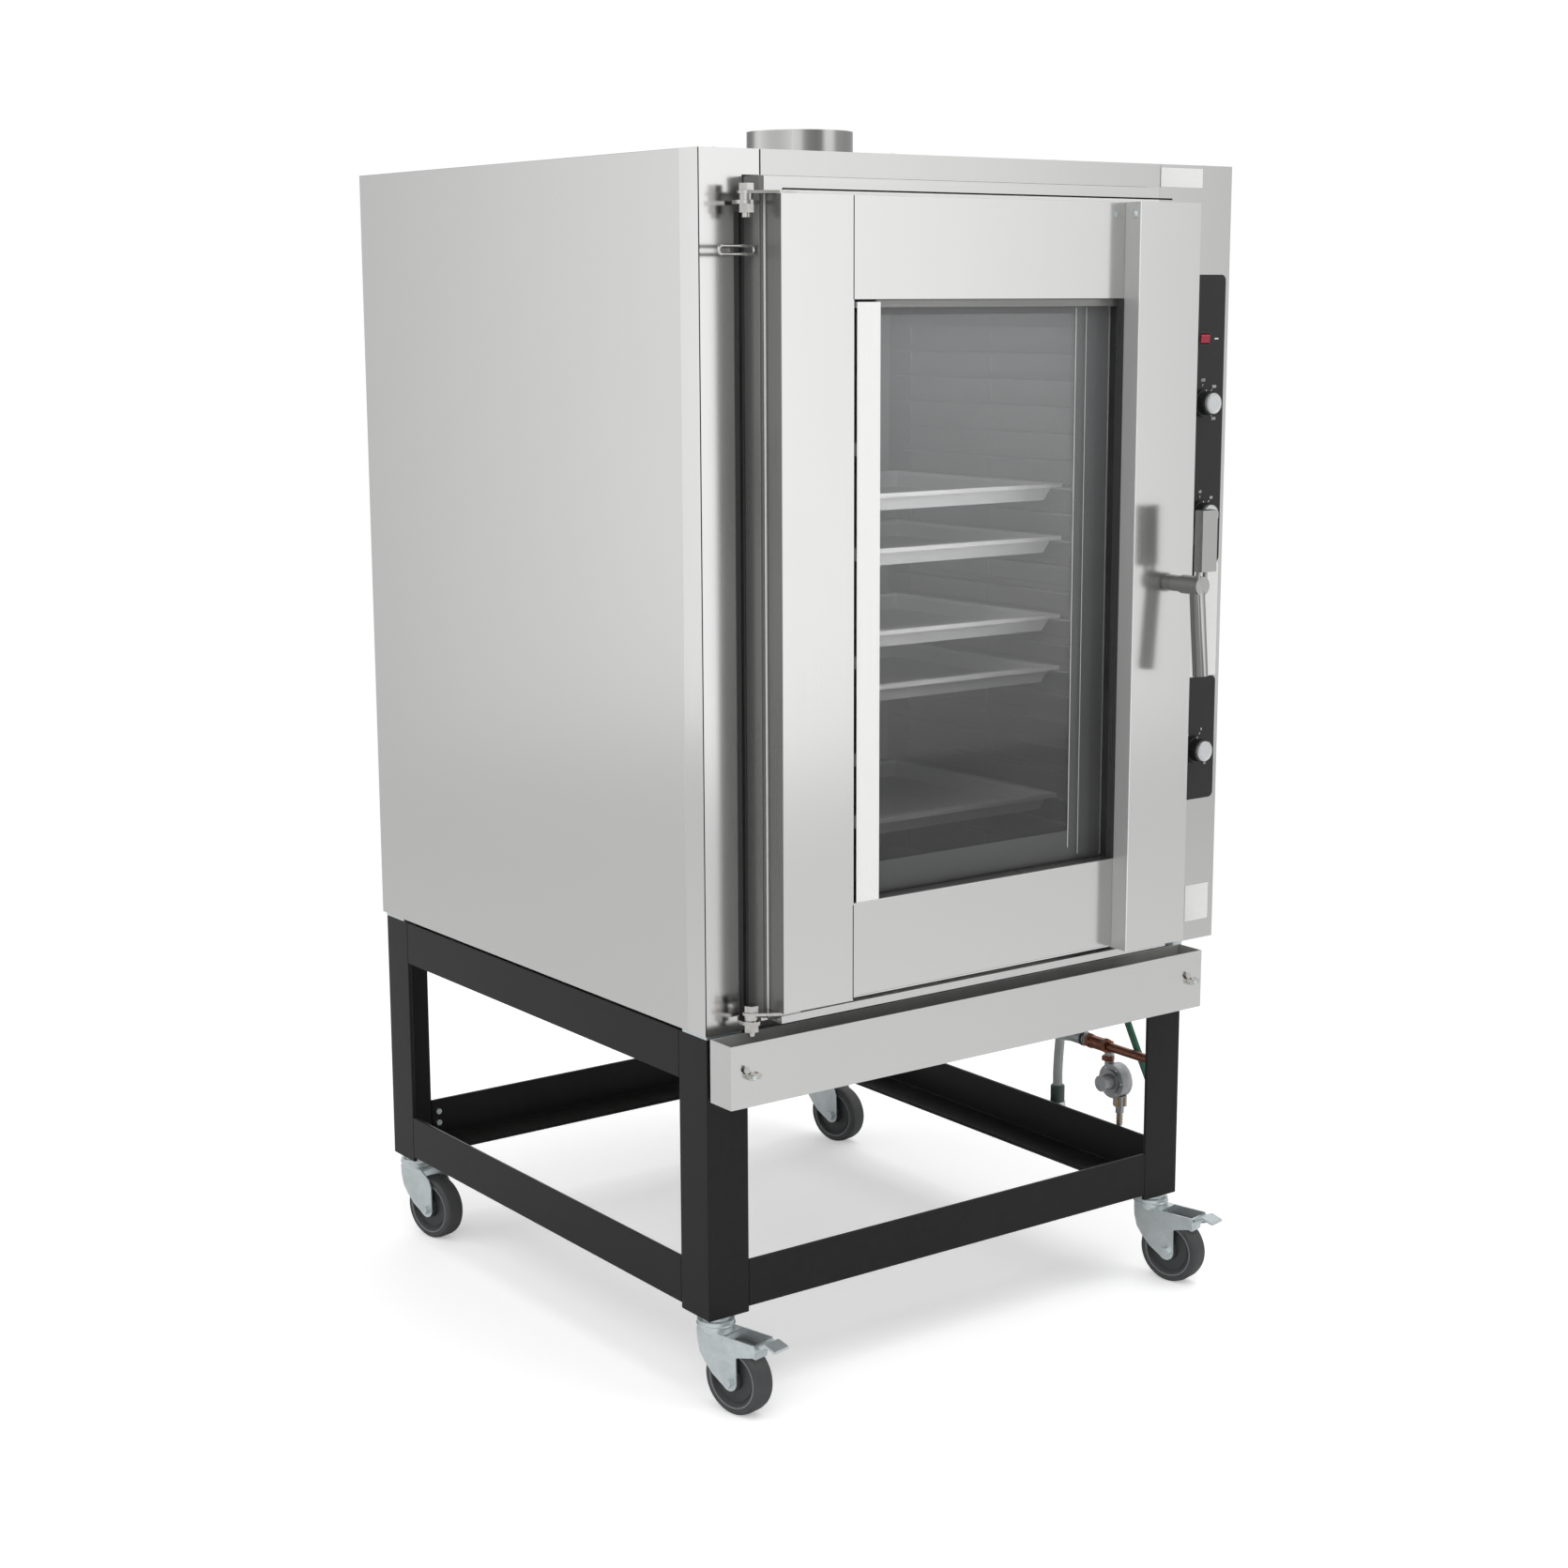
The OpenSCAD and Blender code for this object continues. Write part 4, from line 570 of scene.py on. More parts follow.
@dataclass
class Shop:
    """The bench that every sub-assembly is made on: places, primitives and finishing."""

    book: FinishBook
    frame: dict
    origin: Triple = (492.0, 390.0, -558.0)
    pieces: list[str] = field(default_factory=list)

    def place(self, x: float, y: float, z: float) -> Vector:
        """A point of the cabinet's frame, in the model's metres."""
        return Vector((x - self.origin[0], y - self.origin[1], z - self.origin[2])) / MM_PER_M

    @staticmethod
    def clear() -> None:
        """Leaves edit mode and deselects everything."""
        if bpy.context.object and bpy.context.object.mode != "OBJECT":
            bpy.ops.object.mode_set(mode="OBJECT")
        bpy.ops.object.select_all(action="DESELECT")

    def take(self, piece: Piece) -> None:
        """Makes a piece the only selected object and the active one.

        Args:
            piece: the object.
        """
        self.clear()
        piece.select_set(True)
        bpy.context.view_layer.objects.active = piece

    def finish(self, parts: Piece | Parts, name: str, look: Look, body: str, slot: str) -> Piece:
        """Names a piece, puts its place into its mesh, shades it and hands it to its body.

        Args:
            parts: the object, or a list of objects to join into one.
            name: the piece's name.
            look: its finish.
            body: the CAD body it rides on.
            slot: the record's material slot; not used.

        Returns:
            The piece.
        """
        piece = self.join(parts) if isinstance(parts, list) else parts
        self.take(piece)
        for modifier in list(piece.modifiers):
            bpy.ops.object.modifier_apply(modifier=modifier.name)
        bpy.ops.object.transform_apply(location=True, rotation=True, scale=True)
        bpy.ops.object.shade_smooth_by_angle(angle=SMOOTH_ANGLE)
        even = piece.modifiers.new("even_shading", "WEIGHTED_NORMAL")
        even.keep_sharp = True
        bpy.ops.object.modifier_apply(modifier=even.name)
        piece.name = name
        piece.data.name = name
        piece.data.materials.clear()
        piece.data.materials.append(self.book.of(look))
        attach(piece, body)
        self.pieces.append(name)
        LOG.info("piece %s on %s: %d faces", name, body, len(piece.data.polygons))
        return piece

    def join(self, parts: Parts) -> Piece:
        """Makes several objects one, each with its place already in its mesh.

        Args:
            parts: the objects.

        Returns:
            The first of them, which now holds them all.
        """
        self.clear()
        for part in parts:
            part.select_set(True)
            bpy.context.view_layer.objects.active = part
        bpy.ops.object.transform_apply(location=True, rotation=True, scale=True)
        bpy.context.view_layer.objects.active = parts[0]
        if len(parts) > 1:
            bpy.ops.object.join()
        return parts[0]

    def slab(self, low: Triple, high: Triple, round_mm: float = 0.5, segments: int = 2) -> Piece:
        """A block between two corners with rounded edges.

        Args:
            low: lowest corner, in cabinet millimetres.
            high: highest corner.
            round_mm: how far its edges are rounded.
            segments: steps in the rounding.

        Returns:
            The new object, still placed by its transform.
        """
        self.clear()
        a, b = self.place(*low), self.place(*high)
        bpy.ops.mesh.primitive_cube_add(size=1, location=(a + b) / 2)
        piece = bpy.context.object
        piece.scale = b - a
        bpy.ops.object.transform_apply(location=False, rotation=False, scale=True)
        with edit_mode():
            bpy.ops.mesh.select_all(action="SELECT")
            bpy.ops.mesh.bevel(offset=round_mm / MM_PER_M, segments=segments, affect="EDGES")
        return piece

    def round_bar(self, centre: Triple, radius: float, length: float, axis: Axis, sides: int = 40,
                  round_mm: float = 0.4) -> Piece:
        """A round or many-sided bar with softened rims.

        Args:
            centre: its middle, in cabinet millimetres.
            radius: its radius.
            length: its length along the axis.
            axis: where it points.
            sides: number of sides; 6 makes a nut.
            round_mm: how far the rims are softened.

        Returns:
            The new object.
        """
        self.clear()
        bpy.ops.mesh.primitive_cylinder_add(
            vertices=sides, radius=radius / MM_PER_M, depth=length / MM_PER_M,
            location=self.place(*centre), rotation=axis.value)
        piece = bpy.context.object
        with edit_mode():
            bpy.ops.mesh.select_all(action="DESELECT")
        for edge in piece.data.edges:
            ends = [piece.data.vertices[i].co.z for i in edge.vertices]
            edge.select = abs(ends[0] - ends[1]) < SAME_HEIGHT
        with edit_mode():
            bpy.ops.mesh.select_mode(type="EDGE")
            bpy.ops.mesh.bevel(offset=round_mm / MM_PER_M, segments=2, affect="EDGES")
        return piece

    def ring(self, centre: Triple, radius: float, wire_mm: float, axis: Axis, around: int = 48,
             sides: int = 10) -> Piece:
        """A ring of round wire, such as a bead or a weld.

        Args:
            centre: its middle, in cabinet millimetres.
            radius: from its middle to the wire's.
            wire_mm: the wire's own radius.
            axis: the direction through its hole.
            around: steps round the ring.
            sides: steps round the wire.

        Returns:
            The new object.
        """
        self.clear()
        bpy.ops.mesh.primitive_torus_add(
            location=self.place(*centre), rotation=axis.value, major_radius=radius / MM_PER_M,
            minor_radius=wire_mm / MM_PER_M, major_segments=around, minor_segments=sides)
        return bpy.context.object

    def trims(self, name: str, look: Look, body: str, slot: str, boxes: Sequence[Box],
              round_mm: float = 0.1) -> Piece:
        """One piece made of several slabs, such as seams, beads and reveals.

        Args:
            name: the piece's name.
            look: its finish.
            body: the body it rides on.
            slot: the record's material slot.
            boxes: lowest and highest corner of each slab.
            round_mm: how far the edges are rounded.

        Returns:
            The piece.
        """
        slabs = [self.slab(low, high, round_mm, 1) for low, high in boxes]
        return self.finish(slabs, name, look, body, slot)

    def pick(self, piece: Piece, test: Callable[[Vector], bool]) -> None:
        """Selects the vertices that pass a test, for the next block in edit mode.

        Args:
            piece: the object, whose place may still be in its transform.
            test: takes a vertex's coordinates in the mesh.
        """
        self.take(piece)
        with edit_mode():
            bpy.ops.mesh.select_mode(type="VERT")
            bpy.ops.mesh.select_all(action="DESELECT")
        for vertex in piece.data.vertices:
            vertex.select = test(vertex.co)

    def tint(self, piece: Piece, look: Look, test: Callable[[Triple, Vector], bool]) -> None:
        """Gives a second finish to the faces that pass a test.

        Args:
            piece: a finished piece.
            look: the second finish.
            test: takes a face's middle in cabinet millimetres and its normal.
        """
        piece.data.materials.append(self.book.of(look))
        last = len(piece.data.materials) - 1
        for face in piece.data.polygons:
            middle = tuple(face.center[k] * MM_PER_M + self.origin[k] for k in range(3))
            if test(middle, face.normal):
                face.material_index = last

    def softened(self, node: str, name: str, look: Look, body: str, slot: str, round_mm: float,
                 segments: int = 2) -> Piece:
        """A copy of a CAD node with its edges rounded as folded sheet is, standing for the node.

        Args:
            node: the CAD node.
            name: the piece's name.
            look: its finish.
            body: the body it rides on.
            slot: the record's material slot.
            round_mm: the edge radius.
            segments: steps in the rounding.

        Returns:
            The new piece.
        """
        piece = bpy.data.objects.new(name, self.frame["nodes"][node].data.copy())
        bpy.context.collection.objects.link(piece)
        self.take(piece)
        with edit_mode():
            bpy.ops.mesh.select_all(action="SELECT")
            bpy.ops.mesh.remove_doubles(threshold=SAME_POINT)
            bpy.ops.mesh.dissolve_limited(angle_limit=FLAT_ANGLE)
        bevel = piece.modifiers.new("rounding", "BEVEL")
        bevel.width = round_mm / MM_PER_M
        bevel.segments = segments
        bevel.limit_method = "ANGLE"
        bevel.angle_limit = ROUNDED_ANGLE
        bevel.use_clamp_overlap = True
        self.finish(piece, name, look, body, slot)
        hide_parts(node)
        return piece

    def screw(self, at: Triple, radius: float, axis: Axis) -> Piece:
        """A domed screw head with a cross slot.

        Args:
            at: the middle of its seat, in cabinet millimetres.
            radius: the head's radius.
            axis: Z for a head that faces up, X for one that faces the oven's left.

        Returns:
            The head.
        """
        self.clear()
        size = radius / MM_PER_M
        bpy.ops.mesh.primitive_uv_sphere_add(segments=24, ring_count=12, radius=size,
                                             location=(0, 0, 0))
        head = bpy.context.object
        with edit_mode():
            bpy.ops.mesh.select_all(action="SELECT")
            bpy.ops.mesh.bisect(plane_co=(0, 0, 0), plane_no=(0, 0, 1), use_fill=True,
                                clear_inner=True)
        head.scale = (1, 1, SCREW_DOME)
        bpy.ops.object.transform_apply(location=False, rotation=False, scale=True)
        cutters = []
        for turn in (0.0, math.pi / 2):
            bpy.ops.mesh.primitive_cube_add(size=1, location=(0, 0, size / 2),
                                            rotation=(0, 0, turn))
            cutter = bpy.context.object
            cutter.scale = [radius * part / MM_PER_M for part in SCREW_SLOT]
            bpy.ops.object.transform_apply(location=True, rotation=True, scale=True)
            cutters.append(cutter)
        for cutter in cutters:
            cut = head.modifiers.new("slot", "BOOLEAN")
            cut.operation = "DIFFERENCE"
            cut.object = cutter
            self.take(head)
            bpy.ops.object.modifier_apply(modifier=cut.name)
            bpy.data.objects.remove(cutter)
        if axis is Axis.X:
            head.data.transform(Matrix.Rotation(-math.pi / 2, 4, "Y"))
        head.location = self.place(*at)
        return head


@dataclass
class Cabinet:
    """Outer sheets, plates, screws and the flue."""

    shop: Shop
    depth: float = 952.0
    height: float = 1200.0
    fascia: float = 800.0
    flue: Triple = (581.0, 560.0, 1266.0)

    def build(self) -> None:
        """Makes every piece of the cabinet."""
        make, tint = self.shop.softened, self.shop.tint
        make("side_panels", "cabinet_sides", Look.SIDE_SHEET, "cabinet", "stainless", 0.7)
        front = make("front_panels", "cabinet_front", Look.DOOR_SHEET, "cabinet", "stainless", 0.6)
        tint(front, Look.FASCIA, lambda at, way: at[0] > self.fascia)
        make("roof_panel", "cabinet_roof", Look.SIDE_SHEET, "cabinet", "stainless", 0.6)
        trough = make("drip_trough", "trough", Look.TRIM_SHEET, "cabinet", "stainless", 0.7)
        tint(trough, Look.TROUGH_INSIDE, lambda at, way: at[1] > -51 and 7 < at[0] < 909
             and at[2] > -92.8 and (at[2] < -4 or way.z > 0.9))
        make("chamber_frame", "mouth_frame", Look.TRIM_SHEET, "cabinet", "chamber_steel", 0.7)
        self.flue_beads()
        self.roof_screws()
        self.plates()
        self.seams()
        self.shaded_frame_lip()

    def flue_beads(self) -> None:
        """The rolled lip, the flange ring and the lap seam of the flue collar."""
        shop, (x, y, top), foot = self.shop, self.flue, self.height
        parts = [shop.ring((x, y, top - 1.0), 84.6, 1.0, Axis.Z, 96),
                 shop.ring((x, y, foot + 1.4), 86.6, 1.4, Axis.Z, 96),
                 shop.slab((x - 60.0, y - 61.6, foot + 2), (x - 57.0, y - 59.8, top - 2), 0.4)]
        shop.finish(parts, "flue_beads", Look.TRIM_SHEET, "cabinet", "stainless")

    def roof_screws(self) -> None:
        """Screws along the roof's front and back edges."""
        heads = [self.shop.screw((x, y, self.height), 4.2, Axis.Z)
                 for x in (40, 340, 640, 944) for y in (20, self.depth - 16)]
        self.shop.finish(heads, "roof_screws", Look.ZINC, "cabinet", "zinc")

    def plates(self) -> None:
        """Two blank plates on the control fascia."""
        for name, low, high in (("top", (834, -1.2, 1167), (921, -0.5, 1195)),
                                ("low", (921.5, -1.2, 31), (972, -0.5, 89))):
            plate = self.shop.slab(low, high, 0.3)
            self.shop.finish(plate, f"blank_{name}_plate", Look.PLATE, "cabinet", "stainless")

    def seams(self) -> None:
        """Dark lines where sheets meet on the cabinet."""
        high = self.height - 0.5
        self.shop.trims("cabinet_seams", Look.SEAM, "cabinet", "black_rubber", [
            ((0.4, -0.75, 0.5), (1.5, 0.1, high)),
            ((99.3, -0.75, 1166.5), (100.7, 0.1, high)),
            ((64.3, -0.75, 14), (69.5, 0.1, 1118)),
            ((113, -34.0, 1146.4), (826, -32.6, 1148.8)),
        ], 0.04)

    def shaded_frame_lip(self) -> None:
        """The folds beside the hinge post, from left to right, in darker finishes that paint the
        shade in the gap, and the hem over the door, painted as a highlight.
        """
        for name, look, slot, box, round_mm in (
                ("shaded_frame_lip", Look.SHADED_GAP_SIDE, "chamber_steel",
                 ((69.3, -0.9, 24), (72.5, 0.1, 1118)), 0.2),
                ("shaded_post_fold", Look.SHADED_REVEAL, "stainless",
                 ((56.6, -0.7, 14), (64.5, 0.1, 1118)), 0.05),
                ("shaded_frame_side", Look.SHADED_STEEL, "chamber_steel",
                 ((72, -36.5, 24), (79.2, -0.9, 1164)), 0.6),
                ("frame_hem_highlight", Look.HIGHLIGHT_STRIP, "chamber_steel",
                 ((113, -34.6, 1141.2), (799, -33.0, 1146.4)), 0.4)):
            self.shop.trims(name, look, "cabinet", slot, [box], round_mm)


@dataclass
class Door:
    """Stiles, rails, glass trims and hinge details.

    left, right, foot and head bound the window. rail, hinge_face, lever_face and glass are the y of
    the faces of the rails, the two stiles and the outer pane. low and high are the stiles' ends.
    eye is where the stop's loop starts, and loop its radius, its wire's radius and its reach.
    """

    shop: Shop
    left: float = 200.0
    right: float = 698.0
    foot: float = 175.0
    head: float = 1003.0
    low: float = 37.2
    high: float = 1139.8
    strip: tuple[float, float] = (209.5, 249.5)
    rail: float = -70.0
    hinge_face: float = -76.0
    lever_face: float = -102.05
    glass: float = -42.5
    eye: Triple = (18.5, -28, 1068)
    loop: Triple = (5.4, 2.3, 46.0)

    def build(self) -> None:
        """Makes every piece of the door."""
        make, tint, sheet = self.shop.softened, self.shop.tint, Look.DOOR_SHEET
        hinge = make("door_hinge_stile", "hinge_stile", sheet, "door", "stainless", 1.2, 3)
        # Painted shade: the hinge stile's left-facing side in darker steel.
        tint(hinge, Look.SHADED_STEEL, lambda at, way: way.x < -0.8 and at[0] < 80)
        lever = make("door_lever_stile", "lever_stile", sheet, "door", "stainless", 1.2, 3)
        # Painted shade: the lever stile's left-facing side in a darker, duller steel.
        tint(lever, Look.SHADED_SIDE_FOLD, lambda at, way: way.x < -0.8 and at[0] < self.right + 1)
        make("door_rails", "rails", sheet, "door", "stainless", 0.8)
        # The strip beside the glass is near white as a painted highlight, with painted shade on its
        # left flange; its head is the same painted highlight.
        strip = make("glass_strip", "strip_beside_glass", Look.HIGHLIGHT_STRIP, "door", "stainless",
                     0.6)
        tint(strip, Look.SHADED_REVEAL, lambda at, way: at[0] < self.strip[0] - 0.2)
        self.shop.trims("strip_head", Look.HIGHLIGHT_STRIP, "door", "stainless", [
            ((self.strip[0], self.rail, 992.4), (self.strip[1], self.rail + 11, 1000.4))], 0.4)
        make("drip_rail", "drip_channel", Look.TRIM_SHEET, "door", "stainless", 0.6)
        self.hinges()
        self.rail_screw()
        self.reveals()
        self.glass_print()
        self.seams()

    def hinges(self) -> None:
        """The hinge brackets, with the stop's wire drawn out into a long hairpin loop."""
        shop = self.shop
        brackets = shop.softened("hinge_brackets", "hinge_plates", Look.HINGE, "cabinet", "zinc",
                                 0.4)
        eye = shop.place(33, 0, self.eye[2])
        shop.pick(brackets, lambda at: at.x < eye.x and abs(at.z - eye.z) < 0.02)
        with edit_mode():
            bpy.ops.mesh.delete(type="VERT")
        radius, wire_mm, reach = self.loop
        loop = shop.ring(self.eye, radius, wire_mm, Axis.Y, 32)
        shop.pick(loop, lambda at: at.x > 0.0001)
        with edit_mode():
            bpy.ops.transform.translate(value=(reach / MM_PER_M, 0, 0))
        shop.finish(loop, "stop_loop", Look.HINGE, "cabinet", "zinc")

    def rail_screw(self) -> None:
        """The single screw high on the lever stile's side."""
        head = self.shop.screw((self.right, -90, 1123), 5.5, Axis.X)
        self.shop.finish(head, "rail_screw", Look.ZINC, "door", "zinc")

    def reveals(self) -> None:
        """The black glazing seal, which also stands as painted shadow in the slit beside the strip,
        and sheets of painted shade between the glass and the door's face.
        """
        left, right, foot, head = self.left, self.right, self.foot, self.head
        face, glass, (x0, x1) = self.rail, self.glass, self.strip
        self.shop.trims("glazing_seal", Look.SEAL, "door", "black_rubber", [
            ((left + 0.3, glass - 0.8, foot + 0.3), (x0, glass - 0.05, head - 0.3)),
            ((right - 0.7, glass - 12.5, foot + 0.3), (right - 0.05, glass - 0.05, head - 10.5)),
            ((x1, glass - 2.6, foot + 0.1), (right - 0.7, glass - 0.05, foot + 2.4)),
            ((left + 0.3, face + 11.2, head - 10), (x1 + 1, face + 11.9, head - 0.2)),
            ((left + 0.3, face + 0.2, foot + 0.05), (x1, glass - 0.1, foot + 1.3)),
        ])
        # Painted shade on the right reveal, and on the sill and the band under the head rail below.
        self.shop.trims("dark_reveal", Look.SHADED_REVEAL, "door", "stainless", [
            ((right - 0.5, face - 1, foot + 0.3), (right - 0.05, glass - 12.5, head - 0.2))])
        self.shop.trims("sill", Look.SHADED_SILL, "door", "stainless", [
            ((x1, face + 2.2, foot + 0.02), (right - 0.6, glass - 2.6, foot + 0.5)),
            ((x1 + 1, face + 11.4, head - 10), (right - 0.6, face + 11.95, head - 0.1))])

    def glass_print(self) -> None:
        """The grey border inside the outer pane, and two painted highlights on the inner pane."""
        left, right, foot, head = self.left, self.right, self.foot, self.head
        back = self.glass + 3.2
        self.shop.trims("glass_border", Look.GLASS_PRINT, "door", "black_plastic", [
            ((left + 0.6, back, foot + 0.6), (left + 66, back + 0.3, head - 0.6)),
            ((right - 65, back, foot + 0.6), (right - 0.6, back + 0.3, head - 0.6)),
            ((left + 66, back, foot + 0.6), (right - 65, back + 0.3, foot + 46)),
            ((left + 66, back, head - 20), (right - 65, back + 0.3, head - 0.6))], 0.02)
        self.shop.trims("inner_pane_highlights", Look.HIGHLIGHT_STRIP, "door", "stainless", [
            ((right - 65.6, back - 0.5, foot + 20), (right - 64.2, back - 0.1, head - 12)),
            ((right - 45.4, back - 0.5, foot + 8), (right - 44.4, back - 0.1, head - 12))], 0.05)

    def seams(self) -> None:
        """Dark joints between stiles and rails, and painted highlights on the edges beside them."""
        left, right, foot, head = self.left, self.right, self.foot, self.head
        face, step, front = self.rail, self.hinge_face, self.lever_face
        self.shop.trims("door_seams", Look.SEAM, "door", "black_rubber", [
            ((left - 1.7, step - 0.2, head + 0.5), (left - 0.3, step + 0.3, 1139.5)),
            ((left - 1.7, step - 0.2, 38.5), (left - 0.3, step + 0.3, foot - 0.5)),
            ((left + 0.5, face - 0.2, head + 0.1), (right - 0.3, face + 0.3, head + 1.0))], 0.03)
        self.shop.trims("door_edge_highlights", Look.HIGHLIGHT_STRIP, "door", "stainless", [
            ((78.3, -40.8, self.low), (79.1, -37.0, self.high)),
            ((right - 0.6, front, self.low), (right + 0.6, front + 1.15, self.high)),
            ((left + 1, face + 3, 38.2), (right - 1, face + 4.5, 39.8))], 0.1)


@dataclass
class Lever:
    """The lever, with painted shade on its left side, its shaft and its back."""

    shop: Shop
    front: float = -156.0
    shaft: tuple[float, float] = (572.0, 603.0)

    def build(self) -> None:
        """Makes the lever's piece."""
        tint, (low, high) = self.shop.tint, self.shaft
        lever = self.shop.softened("handle_lever", "lever", Look.POLISHED, "lever",
                                   "polished_steel", 0.8, 3)
        # Painted shade: darker steel on the faces turned to the left and on the shaft, and a duller
        # steel on the faces turned to the back.
        tint(lever, Look.SHADED_STEEL, lambda at, way: way.x < -0.6
             or (at[1] > self.front and low < at[2] < high))
        tint(lever, Look.SHADED_LEVER_BACK, lambda at, way: way.y > 0.55)


@dataclass
class Controls:
    """Dial marks, numbers, caps and the rocker's mark. Each knob has a height, a top and a step."""

    shop: Shop
    column: float = 932.0
    face: float = -1.0
    knobs: tuple[tuple[float, int, int], ...] = ((846.0, 300, 50), (676.0, 120, 20), (308.0, 10, 2))
    grip: float = 17.2
    flutes: int = 24
    tick_reach: float = 27.0
    number_reach: float = 34.5
    number_size: float = 6.2
    first_turn: float = 225.0
    sweep: float = 270.0

    def build(self) -> None:
        """Makes every piece of the control column."""
        for number, (z, top, step) in enumerate(self.knobs, 1):
            self.dial(number, z, top, step)
            self.knob(number, z)
        finish, face = self.shop.finish, self.face
        band = self.shop.slab((888, face + 0.1, 422.5), (976, face + 0.95, 599.5), 0.3)
        finish(band, "silver_band", Look.PLATE, "cabinet", "stainless")
        dash = self.shop.slab((955, face - 0.16, 942), (963, face - 0.02, 944), 0.05, 1)
        finish(dash, "rocker_dash", Look.MARKS, "cabinet", "black_plastic")

    def knob(self, number: int, z: float) -> None:
        """A knob: black skirt with flutes and a pointer line, silver cap, standing for the node.

        Args:
            number: which knob.
            z: its height.
        """
        shop, x, face = self.shop, self.column, self.face
        body = f"control_knob_{number}"
        parts = [shop.round_bar((x, face - 4.0, z), 21.0, 7.0, Axis.Y, 64, 1.4),
                 shop.round_bar((x, face - 13.7, z), 17.4, 12.6, Axis.Y, 64, 0.8),
                 shop.round_bar((x, face + 8, z), 3.0, 18.0, Axis.Y, 24, 0.3)]
        for k in range(self.flutes):
            a = math.tau * k / self.flutes
            at = (x + self.grip * math.cos(a), face - 13.7, z + self.grip * math.sin(a))
            parts.append(shop.round_bar(at, 0.8, 11.6, Axis.Y, 8, 0.2))
        piece = shop.finish(parts, f"knob_skirt_{number}", Look.BLACK_PLASTIC, body,
                            "black_plastic")
        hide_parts(f"knob_{number}")
        cap = shop.round_bar((x, face - 22.9, z), 16.0, 6.2, Axis.Y, 64, 1.6)
        with edit_mode():
            bpy.ops.mesh.select_all(action="DESELECT")
        for side in cap.data.polygons:
            side.select = abs(side.normal.z) > 0.99
        with edit_mode():
            bpy.ops.mesh.inset(thickness=0.002, depth=-0.0006)
            bpy.ops.mesh.inset(thickness=0.001, depth=0.0)
        shop.finish(cap, f"knob_cap_{number}", Look.CAP, body, "black_plastic")
        mark = shop.slab((x - 0.8, face - 8.0, z + 18.2), (x + 0.8, face - 7.3, z + 20.6), 0.2)
        shop.finish(mark, f"knob_line_{number}", Look.MARKS, body, "black_plastic")

    def dial(self, number: int, z: float, top: int, step: int) -> None:
        """Ticks and numbers printed round a knob.

        Args:
            number: which knob.
            z: its height.
            top: the largest number on the dial.
            step: the step between printed numbers.
        """
        shop, face = self.shop, self.face
        parts = []
        count = top // step
        for k in range(count + 1):
            a = math.radians(self.first_turn - self.sweep * k / count)
            ways = math.cos(a), math.sin(a)
            x, height = self.column + self.tick_reach * ways[0], z + self.tick_reach * ways[1]
            tick = shop.slab((x - 0.45, face - 0.16, height - 1.8),
                             (x + 0.45, face - 0.02, height + 1.8), 0.05, 1)
            tick.rotation_euler = (0, math.pi / 2 - a, 0)
            shop.clear()
            bpy.ops.object.text_add(location=(0, 0, 0))
            text = bpy.context.object
            text.data.body = str(k * step)
            text.data.size = self.number_size / MM_PER_M
            text.data.align_x = "CENTER"
            text.data.align_y = "CENTER"
            text.data.extrude = 0.00007
            bpy.ops.object.convert(target="MESH")
            text = bpy.context.object
            text.rotation_euler = Axis.Y.value
            text.location = shop.place(self.column + self.number_reach * ways[0], face - 0.09,
                                       z + self.number_reach * ways[1])
            parts += [tick, text]
        shop.finish(parts, f"dial_{number}", Look.MARKS, "cabinet", "black_plastic")


@dataclass
class Stand:
    """Black angle-iron stand."""

    shop: Shop

    def build(self) -> None:
        """Makes the stand's pieces."""
        for node, name in (("stand_legs", "legs"), ("stand_rails", "frame_rails")):
            self.shop.softened(node, name, Look.STAND_PAINT, "cabinet", "black_steel", 1.6, 3)


